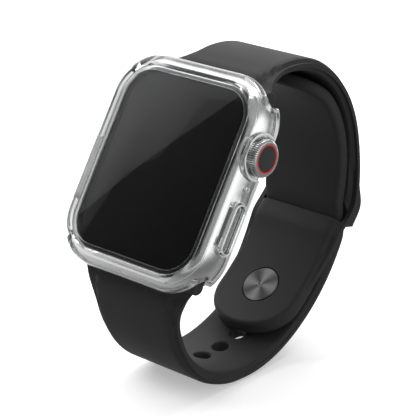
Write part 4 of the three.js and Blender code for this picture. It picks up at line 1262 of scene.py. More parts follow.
        step = (self.lip, self.lip + self.lip_edge)
        at = self.places(self.pin_end, self.loop.length, self.pin_end, step)
        at = at[(at <= step[0]) | (at >= step[1])]
        pin = shop.solid(self.sweep(at, self.pin_half_width, self.pin_outer, self.pin_inner, self.pin_end))
        shop.combine(pin, [self.bead(Side.UPPER)], Cut.JOIN)
        span = 2 * self.crossing_length
        through = np.arange(self.keeper - span, self.keeper + span, self.step)
        passage = self.sweep(
            through,
            lambda s: self.long_half_width(s) + self.slot_side_gap,
            lambda s: self.long_offset(s) + half,
            lambda s: self.long_offset(s) - half,
        )
        floor = float(self.pin_inner(np.array([self.stud]))[0]) + self.disc_thickness - self.disc_proud
        seat, top = self.disc_radius + self.seat_gap, floor - self.disc_thickness
        mouth = seat + self.seat_flare
        seat_cut = [(mouth, floor - CUT_OVERRUN), (mouth, top + self.seat_flare_low),
                    (seat, top + self.seat_flare_high), (seat, floor + self.seat_gap)]
        bore_top = floor + self.shank_bore_length
        bore = rod(self.shank_radius + self.seat_gap, floor, bore_top, Sides.SHANK, Axis.Z)
        cutters = [passage, self.catch_pocket(Side.UPPER),
                   self.on_loop(lathe(seat_cut, Sides.SEAT), self.stud), self.on_loop(bore, self.stud)]
        shop.combine(pin, cutters, Cut.SUBTRACT)
        shop.finish(pin, "pin_strap_moulding", "strap_elastomer", "pin_strap", "strap_elastomer",
                    ["pin_strap"])
        self.make_stud(floor)

    def make_stud(self, floor: float) -> None:
        """Makes the stud's faced disc with its shank, and the knob pressed on it.

        Args:
            floor: Height of the disc's seat over the loop.
        """
        shop = self.shop
        top = floor - self.disc_thickness
        knob = float(self.long_offset(np.array([self.stud]))[0]) + self.thickness / 2 + self.fit_gap
        neck = knob - self.seat_gap
        spigot = knob + self.knob_thickness / 2
        flat, radius = self.disc_radius - self.disc_bevel, self.disc_radius
        profile = [
            (0.0, top), *[(flat - inset, top) for inset in self.disc_ring_insets],
            *arc((flat, top), (radius, top + self.disc_bevel), self.bevel_steps, False),
            (radius, floor), (self.shank_radius, floor), (self.shank_radius, neck),
            (self.spigot_radius, neck), (self.spigot_radius, spigot), (0.0, spigot),
        ]
        stud = shop.solid(self.on_loop(lathe(profile, Sides.DISC), self.stud))
        self.map_polar(stud.data)
        shop.finish(stud, "stud_disc", "stud_turned_steel", "pin_strap", "stud_steel", ["band_stud"])
        outer, high = self.knob_radius, knob + self.knob_thickness
        bore, soft = self.spigot_radius + self.seat_gap, self.knob_bore_round
        shape = filleted(
            [(bore, knob, soft), (outer, knob, self.knob_round), (outer, high, self.knob_top_round),
             (0.0, high, 0.0)], False, self.knob_steps
        )
        seat = spigot + self.seat_gap
        ring = [(0.0, seat), (bore, seat), (bore, knob + soft), *shape]
        made = shop.solid(self.on_loop(lathe(ring, Sides.SEAT), self.stud))
        shop.finish(made, "stud_knob", "pin_steel", "pin_strap", "stud_steel", ["band_stud_knob"])

    def map_polar(self, mesh: bpy.types.Mesh) -> None:
        """Maps a turned part round the stud's axis: the turn goes across and the radius up.

        Args:
            mesh: The turned part, in the head's frame.
        """
        middle, axis = (Vector(value) for value in self.loop.spot(self.stud))
        side = Vector((1, 0, 0))
        other = axis.cross(side)
        layer = mesh.uv_layers.new(name=TurnedFinish.uv_name)
        for face in mesh.polygons:
            turns = []
            for corner in face.loop_indices:
                reach = mesh.vertices[mesh.loops[corner].vertex_index].co - middle
                turn = math.atan2(reach.dot(other), reach.dot(side)) / (2 * math.pi)
                turns.append((corner, turn, (reach - axis * reach.dot(axis)).length))
            wide = max(t[1] for t in turns) - min(t[1] for t in turns) > 1 / 2
            for corner, turn, radius in turns:
                layer.data[corner].uv = (turn + 1 if wide and turn < 0 else turn, radius)


# The watch head


@dataclass
class CaseBody:
    """Metal case with its display seat, cavity, lug channels, bores and air slots."""

    shop: Workshop
    width: float = 38.0
    length: float = 44.0
    corner: float = 9.4
    back: float = -0.6
    girth: float = 4.6
    top: float = 8.0
    top_inset: float = 1.25
    back_inset: float = 2.4
    side_wall: float = 3.2
    end_wall: float = 5.6
    cavity_corner: float = 5.0
    cavity_floor: float = 0.8
    glass_inset: float = 1.95
    glass_top: float = 8.4
    glass_thickness: float = 0.95
    glass_edge: float = 0.45
    glass_chamfer: float = 0.08
    glass_steps: int = 8
    seat_depth: float = 1.0
    panel_pocket: tuple[float, float, float, float] = (31.2, 36.0, 6.4, 6.25)
    back_seat_inset: float = 4.5
    back_seat_end_inset: float = 6.1
    back_seat_corner: float = 9.0
    back_seat_floor: float = 0.3
    back_ledge: float = 1.3
    cover_gap: float = 0.15
    cover_dip: float = 0.3
    cover_top: float = 0.2
    dish_insets: tuple[float, ...] = (2.6, 1.6, 0.87, 0.3, 0.0)
    dish_heights: tuple[float, ...] = (-0.6, -0.5, -0.3, -0.08, 0.1)
    window_radius: float = 8.2
    window_gap: float = 0.1
    window_drop: float = 1.5
    dome_radii: tuple[float, ...] = (2.4, 4.6, 5.6, 6.6, 7.6, 8.05, 8.2)
    dome_rises: tuple[float, ...] = (0.0, 0.0, 0.06, 0.22, 0.46, 0.62, 0.8)
    fit_gap: float = 0.3
    lug_reach: float = 6.4
    channel_steps: int = 9
    crown_y: float = 8.3
    crown_z: float = 5.0
    crown_bore: float = 2.05
    button_y: float = -7.05
    button_z: float = 5.05
    button_length: float = 10.4
    button_width: float = 2.7
    button_round: float = 0.3
    button_thickness: float = 1.3
    button_steps: int = 5
    stem_radius: float = 0.6
    stem_reach: float = 0.5
    stem_overlap: float = 0.1
    recess_depth: float = 1.6
    recess_relief: float = 0.15
    recess_draft: float = 0.12
    recess_mouth: float = 0.1
    recess_flare: float = 0.3
    mic_y: float = 1.4
    mic_radius: float = 0.4
    slot_y: float = -4.0
    slot_pitch: float = 6.6
    slot_length: float = 5.4
    slot_width: float = 1.0
    release_y: float = 17.85
    release_length: float = 5.0
    release_width: float = 1.7
    release_height: float = 1.6
    release_pocket: float = 2.4
    release_insets: tuple[float, ...] = (0.25, 0.07, 0.0)
    profile_steps: int = 12

    def envelope(self) -> Raw:
        """Returns the outer skin: a side crowned about its girth, with rounded shoulders and back."""
        lower = arc((self.back_inset, self.back), (0.0, self.girth), self.profile_steps, False)
        upper = arc((0.0, self.girth), (self.top_inset, self.top), self.profile_steps)
        return stack(self.width, self.length, self.corner, [*lower, *upper[1:]])

    def inset_stack(self, inset: float, profile: Sequence[Pair], end_inset: float | None = None,
                    corner: float | None = None) -> Raw:
        """Lofts a form that follows the case's outline further in.

        Args:
            inset: How far in it lies at the sides.
            profile: Further inset and height of each ring.
            end_inset: How far in it lies at the ends, if that differs.
            corner: Its corner radius, if that isn't worked out from the inset.

        Returns:
            The lofted form.
        """
        ends = inset if end_inset is None else end_inset
        radius = self.corner - inset if corner is None else corner
        return stack(self.width - 2 * inset, self.length - 2 * ends, radius, profile)

    def channel(self, band: Band, side: Side) -> Piece:
        """Makes the keyhole channel that a strap slides in.

        Args:
            band: The band, whose neck shapes the mouth.
            side: End of the case.

        Returns:
            The cutter.
        """
        bore = rod(band.bead_radius + self.fit_gap, -self.width, self.width, Sides.BORE)
        made = self.shop.solid(bore.moved(0, side.value * band.bead_y, band.bead_z))
        low, lug = (0.0, 0.0) if side is Side.LOWER else (band.loop.length - self.lug_reach, band.loop.length)

        def half(at: Array) -> Array:
            """Returns half the mouth's height."""
            return band.neck(np.abs(at - lug)) / 2 + self.fit_gap

        mouth = band.sweep(
            np.linspace(low, low + self.lug_reach, self.channel_steps),
            lambda s: np.full(len(s), self.width),
            half,
            lambda s: -half(s),
        )
        self.shop.combine(made, [mouth], Cut.JOIN)
        return made

    def button_recess(self) -> Raw:
        """Returns the cutter of the recess that the side button stands in."""
        side, gap = self.width / 2, self.fit_gap
        floor = side - self.recess_depth
        shape = [(self.recess_draft, floor - self.recess_relief), (0.0, floor),
                 (0.0, side - self.recess_mouth),
                 (-self.recess_flare, side + self.recess_flare - self.recess_mouth)]
        return pill_x(self.button_length + 2 * gap, self.button_width + 2 * gap, shape, self.button_y,
                      self.button_z)

    def make(self, band: Band) -> None:
        """Makes the case, its glass and the button that stands in it.

        Args:
            band: The band that slides into the case.
        """
        shop = self.shop
        side, above, below = self.width / 2, self.top + CUT_OVERRUN, self.back - CUT_OVERRUN
        cavity = self.width / 2 - self.side_wall
        start, over = cavity - CUT_OVERRUN, side + CUT_OVERRUN
        ledge = self.back_seat_corner - self.back_ledge
        case = shop.solid(self.envelope())
        *pocket, pocket_floor = self.panel_pocket
        cutters: list[Raw | Piece] = [
            plate(self.width - 2 * self.glass_inset + self.fit_gap,
                  self.length - 2 * self.glass_inset + self.fit_gap,
                  self.corner - self.glass_inset, self.top - self.seat_depth, above),
            plate(*pocket, pocket_floor, above),
            self.inset_stack(self.side_wall, [(0, self.cavity_floor), (0, above)], self.end_wall,
                             self.cavity_corner),
            self.inset_stack(self.back_seat_inset + self.back_ledge, [(0, below), (0, above)],
                             self.back_seat_end_inset + self.back_ledge, ledge),
            self.inset_stack(self.back_seat_inset, [(0, below), (0, self.back_seat_floor)],
                             self.back_seat_end_inset, self.back_seat_corner),
            rod(self.crown_bore, start, over).moved(0, self.crown_y, self.crown_z),
            self.button_recess(),
            rod(self.stem_radius + self.fit_gap, start, side).moved(0, self.button_y, self.button_z),
            rod(self.mic_radius, start, over).moved(0, self.mic_y, self.crown_z),
        ]
        gap = 2 * self.fit_gap
        pocket, slot = [(0, below), (0, self.back + self.release_pocket)], [(0, -over), (0, -start)]
        for end in Side:
            cutters.append(pill_z(self.release_length + gap, self.release_width + gap, pocket,
                                  end.value * self.release_y))
            y = self.slot_y + end.value * self.slot_pitch / 2
            cutters.append(pill_x(self.slot_length, self.slot_width, slot, y, self.crown_z))
            cutters.append(self.channel(band, end))
        shop.combine(case, cutters, Cut.SUBTRACT)
        shop.finish(case, "case_shell", "anodised_aluminium", "case", "case_aluminium", ["case_housing"])

        edge, chamfer = self.glass_edge, self.glass_chamfer
        low = self.glass_top - self.glass_thickness
        rim = arc((0.0, self.glass_top - edge), (edge, self.glass_top), self.glass_steps)
        glass = shop.solid(self.inset_stack(self.glass_inset, [(chamfer, low), (0.0, low + chamfer), *rim]))
        shop.finish(glass, "cover_glass", "black_cover_glass", "case", "display_glass",
                    ["display_glass"])

        start, soft = side - self.button_thickness, self.button_round
        cap = [(0.0, start), *arc((0.0, side - soft), (soft, side), self.button_steps)]
        button = shop.solid(pill_x(self.button_length, self.button_width, cap, self.button_y, self.button_z))
        stem = rod(self.stem_radius, cavity - self.stem_reach, start + self.stem_overlap, Sides.PIN)
        shop.combine(button, [stem.moved(0, self.button_y, self.button_z)], Cut.JOIN)
        shop.finish(button, "side_button_cap", "anodised_aluminium", "side_button", "case_aluminium",
                    ["side_button"])

    def make_back(self) -> None:
        """Makes the back cover with its sensor window and the two release pads."""
        shop = self.shop
        rim = self.back - self.cover_dip
        dish = [(inset, rim + rise) for inset, rise in zip(self.dish_insets, self.dish_heights)]
        cover = shop.solid(
            self.inset_stack(self.back_seat_inset + self.cover_gap, [*dish, (0.0, self.cover_top)],
                             self.back_seat_end_inset + self.cover_gap, self.back_seat_corner)
        )
        low, radius = self.back - self.window_drop, self.window_radius
        bore = rod(radius + self.window_gap, rim - CUT_OVERRUN, self.back_seat_floor, Sides.DISC, Axis.Z)
        shop.combine(cover, [bore], Cut.SUBTRACT)
        shop.finish(cover, "back_cover_dish", "back_ceramic_glaze", "case", "back_ceramic",
                    ["back_cover"])
        dome = [(r, low + rise) for r, rise in zip(self.dome_radii, self.dome_rises)]
        lens = [(0.0, low), *dome, (radius, self.cover_top), (0.0, self.cover_top)]
        window = shop.solid(lathe(lens, Sides.DISC))
        shop.finish(window, "sensor_window", "dark_sensor_glass", "case", "sensor_glass",
                    ["sensor_crystal"])
        rises = reversed(self.release_insets)
        shape = [(inset, self.back + rise) for inset, rise in zip(self.release_insets, rises)]
        shape.append((0.0, self.back + self.release_height))
        for end in Side:
            word, y = end.name.lower(), end.value * self.release_y
            pad = shop.solid(pill_z(self.release_length, self.release_width, shape, y))
            shop.finish(pad, f"{word}_release_pad", "anodised_aluminium", f"{word}_release",
                        "case_aluminium", [f"{word}_release_button"])


@dataclass
class Crown:
    """Knurled crown with a rounded shoulder, its coloured inlay and dark face."""

    shop: Workshop
    y: float = 8.3
    z: float = 5.0
    radius: float = 3.9
    back: float = 19.45
    length: float = 2.5
    bevel: float = 0.3
    bevel_in_share: float = 0.7
    bevel_up_share: float = 0.3
    shoulder_length: float = 0.85
    shoulder_drop: float = 0.65
    shoulder_steps: int = 9
    teeth: int = 52
    tooth_depth: float = 0.2
    tooth_share: float = 0.5
    tooth_flank: float = 0.07
    tooth_crown: float = 0.01
    tooth_flat_share: float = 0.62
    shaft_bore: float = 1.0
    shaft_depth: float = 0.6
    rim: float = 0.16
    rim_drop: float = 0.015
    lip: float = 0.06
    lip_drop: float = 0.02
    ring_outer: float = 2.98
    ring_inner: float = 2.68
    ring_depth: float = 0.35
    ring_gap: float = 0.04
    ring_round: float = 0.06
    ring_steps: int = 3
    groove_depth: float = 0.45
    web_drop: float = 0.2
    cap_radius: float = 2.62
    cap_stem: float = 2.36
    cap_depth: float = 0.45
    cap_well: float = 0.55
    cap_gap: float = 0.04
    cap_chamfer: float = 0.01
    cap_flange: float = 0.15
    cap_round: float = 0.06
    cap_edge: float = 0.04
    cap_middle: float = 1.4
    cap_rise: float = 0.02
    cap_top: float = 0.03

    def turn(self, profile: Sequence[Pair], sides: int, closed: bool = False) -> Piece:
        """Returns a solid turned round the crown's axis."""
        return self.shop.solid(lathe(profile, sides, Axis.X, closed).moved(0, self.y, self.z))

    def crest_line(self) -> list[Pair]:
        """Draws the top of a tooth, from the back bevel over the shoulder.

        Returns:
            Radius and X pairs.
        """
        face, bevel = self.back + self.length, self.bevel
        over = arc((self.radius, face - self.shoulder_length), (self.radius - self.shoulder_drop, face),
                   self.shoulder_steps)
        return [(self.radius - bevel * self.bevel_in_share, self.back + bevel * self.bevel_up_share),
                (self.radius, self.back + bevel), *over]

    def tooth(self) -> Raw:
        """Draws one tooth above the axis: a ridge that runs along the wheel and tapers down its shoulder.

        Returns:
            The tooth.
        """
        pitch = 2 * math.pi * self.radius / self.teeth
        rings = []
        for radius, x in self.crest_line():
            half = pitch * self.tooth_share / 2 * radius / self.radius
            floor, flank = radius - 2 * self.tooth_depth, radius - self.tooth_flank
            flat, crown = half * self.tooth_flat_share, radius - self.tooth_crown
            shape = [(-half, floor), (-half, flank), (-flat, crown), (0, radius), (flat, crown),
                     (half, flank), (half, floor)]
            rings.append(np.array([(x, across, up) for across, up in shape]))
        return skin(rings)

    @staticmethod
    def knurl_tree() -> Tree:
        """Builds the node tree that repeats a tooth round the wheel.

        Returns:
            The tree, with named inputs for the count and the material.
        """
        nodes = Nodes(bpy.data.node_groups.new("crown_knurls", "GeometryNodeTree"))
        for name, kind in (("Geometry", "Geometry"), ("Count", "Int"), ("Material", "Material")):
            nodes.socket(name, kind)
        nodes.socket("Geometry", "Geometry", out=True)
        given = nodes.add("NodeGroupInput")
        places = nodes.add("GeometryNodeMeshLine", {"Count": given["Count"], "Offset": (0, 0, 0)})
        step = nodes.math("DIVIDE", 2 * math.pi, given["Count"])
        turn = nodes.math("MULTIPLY", step, nodes.add("GeometryNodeInputIndex")[0])
        around = nodes.add("ShaderNodeCombineXYZ", {0: turn})
        placed = nodes.add(
            "GeometryNodeInstanceOnPoints",
            {"Points": places[0], "Instance": given["Geometry"], "Rotation": around[0]},
        )
        nodes.realise(placed[0], given["Material"])
        return nodes.tree

    def make(self) -> None:
        """Makes the wheel, its teeth, the inlay and the face."""
        shop = self.shop
        face, metal = self.back + self.length, "anodised_aluminium"
        outer, inner, stem = self.ring_outer, self.ring_inner, self.cap_stem
        core = [(r - self.tooth_depth, x) for r, x in self.crest_line()[1:-1]]
        floor, web, well = face - self.groove_depth, face - self.web_drop, face - self.cap_well
        wheel = self.turn([
            (0.0, self.back), (self.radius - self.bevel - self.tooth_depth, self.back), *core,
            (outer + self.rim, face - self.rim_drop), (outer + self.lip, face - self.lip_drop),
            (outer + self.ring_gap, floor), (inner - self.ring_gap, floor), (inner - self.lip, web),
            (stem + self.cap_gap + self.cap_chamfer, web), (stem + self.cap_gap, well), (0.0, well),
        ], Sides.WHEEL)
        bore = rod(self.shaft_bore, self.back - self.shaft_bore, self.back + self.shaft_depth, Sides.SHANK)
        shop.combine(wheel, [bore.moved(0, self.y, self.z)], Cut.SUBTRACT)
        # The wheel body shows in the grooves between the teeth, in darker metal that paints their shade.
        shop.finish(wheel, "crown_wheel_body", "crown_groove_metal", "crown", "case_aluminium",
                    ["crown_wheel"])

        knurls = shop.solid(self.tooth(), "knurls")
        shop.grow(knurls, self.knurl_tree(), {"Count": self.teeth, "Material": shop.paint[metal]})
        knurls.data.transform(Matrix.Translation((0, self.y, self.z)))
        shop.finish(knurls, "crown_knurls", metal, "crown", "case_aluminium")

        low, soft = face - self.ring_depth, self.ring_round
        ring = filleted([(inner, low, 0), (outer, low, 0), (outer, face, soft), (inner, face, soft)], True,
                        self.ring_steps)
        inlay = self.turn(ring, Sides.RING, True)
        shop.finish(inlay, "crown_inlay", "inlay_orange_red", "crown", "ring_orange", ["crown_ring"])
        back, flange, wide = face - self.cap_depth, face - self.cap_flange, self.cap_radius
        cap = self.turn([
            (0.0, back), (stem, back), (stem, flange), (wide, flange), (wide, face - self.cap_edge),
            (wide - self.cap_round, face), (self.cap_middle, face + self.cap_rise),
            (0.0, face + self.cap_top),
        ], Sides.RING)
        shop.finish(cap, "crown_face", "crown_cap_sapphire", "crown", "crown_cap_dark", ["crown_cap"])


# The protector


@dataclass
class Protector:
    """Clear moulded frame with its lip, crown port, button pad and clear pane."""

    shop: Workshop
    case: CaseBody
    band: Band
    crown: Crown
    width: float = 40.4
    length: float = 46.5
    corner: float = 10.2
    bottom: float = 2.1
    shoulder: float = 6.6
    shoulder_steps: int = 20
    crest: float = 9.7
    crest_inset: float = 2.75
    crest_flat: float = 0.02
    foot_round: float = 0.35
    foot_top: float = 3.4
    foot_steps: int = 10
    squeeze: float = 0.02
    rest_inset: float = 2.0
    rest_top: float = 7.8
    lip_width: float = 1.3
    lip_drop: float = 0.2
    lip_ramp: float = 0.35
    lip_thickness: float = 0.25
    lip_rounds: Triple = (0.1, 0.2, 0.04)
    lip_steps: int = 5
    pane_thickness: float = 0.35
    pane_margin: float = 1.05
    pane_chamfer: float = 0.05
    bond_thickness: float = 0.12
    bond_gap: float = 0.04
    cut_top: float = 6.3
    cut_round: float = 2.0
    cut_steps: int = 13
    hook_end: float = 1.0
    hook_steps: int = 10
    port_gap: float = 0.35
    port_depth: float = 1.5
    port_mouth: float = 0.3
    port_overrun: float = 1.0
    collar_wall: float = 0.65
    collar_flare: float = 0.25
    collar_height: float = 0.1
    collar_depth: float = 1.9
    collar_root: float = 0.8
    collar_clear: float = 0.4
    collar_steps: int = 6
    cover_length: float = 11.1
    cover_width: float = 3.9
    cover_proud: float = 0.45
    cover_chamfer: float = 0.1
    cover_round: float = 0.3
    cover_steps: int = 7
    mic_radius: float = 0.4
    speaker_length: float = 14.0
    speaker_width: float = 2.2
    rim: float = 0.18
    rim_low: float = 0.06
    rim_draft: float = 0.05
    rim_high: float = 0.02
    rim_flare: float = 0.6
    soft_rim: float = 0.26
    crisp_angle: float = math.radians(38)
    crisp_length: float = 0.02
    skin_depth: float = 0.04
    foot_margin: float = 0.1
    edge_round: float = 0.11
    flat_share: float = 0.995
    port_highlight_band: Pair = (0.2, 0.62)
    pad_highlight_normals: Pair = (0.3, 0.97)

    @property
    def port(self) -> float:
        """Returns the radius of the crown port."""
        return self.crown.radius + self.port_gap

    def profile(self) -> list[Pair]:
        """Draws the frame's wall, crest, lip, rebate and inner wall.

        Returns:
            Inset and height pairs, closed.
        """
        lip, ledge = self.crest_inset + self.lip_width, self.crest - self.lip_drop
        rebate, under = lip - self.pane_margin + self.pane_chamfer, ledge - self.lip_thickness
        first, second, third = self.lip_rounds
        chain = arc((self.foot_round, self.bottom), (0.0, self.foot_top), self.foot_steps, False)
        chain += arc((0.0, self.shoulder), (self.crest_inset, self.crest), self.shoulder_steps)
        return chain + filleted(
            [(self.crest_inset + self.crest_flat, self.crest, 0),
             (self.crest_inset + self.lip_ramp, ledge, first), (lip, ledge, second), (lip, under, third),
             (rebate, under, 0), (self.rest_inset, self.rest_top, 0), (self.rest_inset, self.bottom, 0)],
            False, self.lip_steps,
        )

    def seat(self) -> Raw:
        """Draws the room for the case: a hair under its size, and straight below its girth to lift off.

        Returns:
            The cutter.
        """
        case = self.case
        shoulder = arc((0.0, case.girth), (case.top_inset, case.top), case.profile_steps)
        shape = [(0.0, self.bottom - CUT_OVERRUN), *shoulder,
                 (case.top_inset + case.fit_gap, case.top + case.fit_gap)]
        return case.inset_stack(self.squeeze, shape)

    def strap_cut(self, side: Side) -> Raw:
        """Draws the valley round a bead, open upwards and outwards, with a short hook left inside it.

        Args:
            side: End of the case.

        Returns:
            The cutter.
        """
        band = self.band
        radius, reach, low = band.bead_radius + band.fit_gap, self.length, self.bottom - CUT_OVERRUN
        start = band.bead_y - radius
        valley = arc((start, self.cut_top - self.cut_round), (start + self.cut_round, self.cut_top),
                     self.cut_steps - 1)
        hook = np.linspace(np.pi, np.pi + math.acos(self.hook_end / radius), self.hook_steps)
        flat = np.array([
            (band.bead_y - self.hook_end, low), (reach, low), (reach, self.cut_top), *reversed(valley),
            *[(band.bead_y + radius * math.cos(a), band.bead_z + radius * math.sin(a)) for a in hook],
        ])
        return skin([np.column_stack((np.full(len(flat), x), side.value * flat[:, 0], flat[:, 1]))
                     for x in (-self.width, self.width)])

    def collar(self) -> Piece:
        """Makes the guard ring round the crown port, deeper where the shoulder rounds away from the side.

        Returns:
            The ring, before the port is cut.
        """
        shop, case = self.shop, self.case
        side, outer, soft = self.width / 2, self.port + self.collar_wall, self.soft_rim
        base, top = side - self.collar_depth, side + self.collar_height
        ring = [(0.0, base), (outer + self.collar_flare, base),
                *arc((outer, top - soft), (outer - soft, top), self.collar_steps), (0.0, top)]
        made = shop.solid(lathe(ring, Sides.DISC, Axis.X).moved(0, case.crown_y, case.crown_z))
        high, reach = self.crest - self.lip_drop / 2, self.width
        room, over_shoulder = (
            shop.solid(block(((x, -reach), (reach, -reach), (reach, reach), (x, reach)), z, high))
            for x, z in ((side - self.collar_root, self.bottom), (0.0, case.top + self.collar_clear))
        )
        shop.combine(room, [over_shoulder], Cut.JOIN)
        shop.combine(made, [room], Cut.KEEP)
        return made

    def crown_port(self) -> Piece:
        """Makes the cutter of the crown port: a hole with a soft rim, open downwards.

        Returns:
            The cutter.
        """
        case, port = self.case, self.port
        back, top, soft = self.width / 2 - self.port_depth, self.width / 2 + self.collar_height, self.soft_rim
        mouth = arc((port, top - soft), (port + soft, top), self.collar_steps)
        hole = [(port, back), *mouth, (port + soft + self.port_mouth, top + self.port_mouth)]
        made = self.shop.solid(lathe(hole, Sides.DISC, Axis.X).moved(0, case.crown_y, case.crown_z))
        out, low, high = top + self.port_overrun, case.crown_y - port, case.crown_y + port
        flat, start = ((back, low), (out, low), (out, high), (back, high)), self.bottom - CUT_OVERRUN
        self.shop.combine(made, [block(flat, start, case.crown_z)], Cut.JOIN)
        return made

    def to_outline(self, place: Vector) -> float:
        """Measures how far a place lies outside the frame's outline.

        Args:
            place: The place, in the head's frame.

        Returns:
            The distance, less than 0 inside the outline.
        """
        x = abs(place.x) - self.width / 2 + self.corner
        y = abs(place.y) - self.length / 2 + self.corner
        return math.hypot(max(x, 0.0), max(y, 0.0)) + min(max(x, y), 0.0) - self.corner

    def is_crisp(self, edge: bmesh.types.BMEdge) -> bool:
        """Tells whether an edge is a crisp one of the outer skin, on the crown's side.

        Args:
            edge: An edge of the frame.

        Returns:
            Whether it is.
        """
        if edge.calc_face_angle(0.0) <= self.crisp_angle or edge.calc_length() <= self.crisp_length:
            return False
        low, high = self.bottom + self.foot_margin, self.shoulder + self.foot_margin
        return all(vert.co.x > 0 and low < vert.co.z < high and self.to_outline(vert.co) > -self.skin_depth
                   for vert in edge.verts)

    def is_rim(self, face: bmesh.types.BMFace) -> bool:
        """Tells whether a face belongs to a rim that gets the painted highlight.

        Args:
            face: A face of the frame.

        Returns:
            Whether it lies on the rim of the port, of the button's window or of the speaker's window.
        """
        case, middle = self.case, face.calc_center_median()

        def round_pill(y: float, z: float, length: float, width: float) -> float:
            """Returns how far the face lies outside a pill on the frame's side."""
            along = max(abs(middle.y - y) - (length - width) / 2, 0.0)
            return math.hypot(along, middle.z - z) - width / 2

        over_side = middle.x - self.width / 2
        low, high = self.port_highlight_band
        round_port = math.hypot(middle.y - case.crown_y, middle.z - case.crown_z) - self.port
        if over_side > self.collar_height / 4 and low < round_port < high:
            return True
        round_speaker = round_pill(case.slot_y, case.crown_z, self.speaker_length, self.speaker_width)
        if middle.x < 0 and abs(round_speaker) < self.edge_round / 2:
            return True
        if over_side < -self.rim or face.normal.x > self.flat_share:
            return False
        return 0.0 < round_pill(case.button_y, case.button_z, self.cover_length, self.cover_width) < self.rim

    def paint_edge_highlights(self, frame: Piece) -> None:
        """Rounds the crisp outer edges of the frame and marks them, with the rims, for the painted highlight
        finish.

        Args:
            frame: The moulded frame.
        """
        work = bmesh.new()
        work.from_mesh(frame.data)
        for face in work.faces:
            face.material_index = 0
        work.normal_update()
        crisp = [edge for edge in work.edges if self.is_crisp(edge)]
        # The rounded edges take the second finish, a painted highlight.
        bmesh.ops.bevel(work, geom=crisp, offset=self.edge_round, segments=2, profile=0.5, affect="EDGES",
                        material=1, clamp_overlap=False)
        for face in work.faces:
            if self.is_rim(face):
                face.material_index = 1
        work.to_mesh(frame.data)
        work.free()

    def make(self) -> None:
        """Makes the frame and the parts that go with it."""
        shop, case, side = self.shop, self.case, self.width / 2
        frame = shop.solid(stack(self.width, self.length, self.corner, self.profile(), True))
        shop.combine(frame, [self.collar()], Cut.JOIN)
        inner, over = case.width / 2 - CUT_OVERRUN, side + CUT_OVERRUN
        window = [(0.0, inner), (0.0, side - self.rim), (-self.rim_draft, side - self.rim_low),
                  (-self.rim, side + self.rim_high), (-self.rim - self.rim_flare, side + self.rim_flare)]
        cutters: list[Raw | Piece] = [
            self.seat(),
            self.crown_port(),
            self.strap_cut(Side.UPPER),
            self.strap_cut(Side.LOWER),
            pill_x(self.cover_length, self.cover_width, window, case.button_y, case.button_z),
            rod(self.mic_radius, inner, over).moved(0, case.mic_y, case.crown_z),
            pill_x(self.speaker_length, self.speaker_width, [(0, -over), (0, -inner)], case.slot_y,
                   case.crown_z),
        ]
        shop.combine(frame, cutters, Cut.SUBTRACT)
        self.paint_edge_highlights(frame)
        shop.finish(frame, "protector_frame", "protector_clear_moulding", "protector", "protector_clear",
                    ["protector_bumper"], second="protector_bright_edge")
        self.make_pane()
        self.make_pad()

    def make_pane(self) -> None:
        """Makes the pane and the line of adhesive under the lip."""
        shop = self.shop
        lip = self.crest_inset + self.lip_width
        edge, soft = lip - self.pane_margin, self.pane_chamfer
        bond_top = self.crest - self.lip_drop - self.lip_thickness - self.bond_gap
        bond_low = bond_top - self.bond_thickness
        top = bond_low - self.bond_gap
        low = top - self.pane_thickness
        shape = [(edge + soft, low), (edge, low + soft), (edge, top - soft), (edge + soft, top)]
        pane = shop.solid(stack(self.width, self.length, self.corner, shape))
        shop.finish(pane, "protector_screen", "pane_clear_sheet", "protector", "protector_clear",
                    ["protector_pane"])
        outer = edge + self.bond_gap
        shape = [(outer, bond_low), (outer, bond_top), (lip, bond_top), (lip, bond_low)]
        bond = shop.solid(stack(self.width, self.length, self.corner, shape, True))
        shop.finish(bond, "screen_bond", "pane_bond_film", "protector", "pane_bond_clear",
                    ["protector_pane_bond"])

    def make_pad(self) -> None:
        """Makes the pad that presses the side button, with a painted highlight on its rim."""
        shop, case = self.shop, self.case
        gap, soft, chamfer = case.fit_gap, self.cover_round, self.cover_chamfer
        start, stop = case.width / 2 + gap, self.width / 2 + self.cover_proud
        dome = [(chamfer, start), (0.0, start + chamfer),
                *arc((0.0, stop - soft), (soft, stop), self.cover_steps)]
        length, width = self.cover_length - 2 * gap, self.cover_width - 2 * gap
        pad = shop.solid(pill_x(length, width, dome, case.button_y, case.button_z))
        low, high = self.pad_highlight_normals
        # Faces on the pad's rounded rim get the painted highlight finish.
        for face in pad.data.polygons:
            face.material_index = int(low < face.normal.x < high and face.center.x > start + soft)
        shop.finish(pad, "button_pad", "protector_clear_moulding", "button_cover", "protector_clear",
                    ["protector_button_cover"], second="protector_bright_edge")


# What the case holds


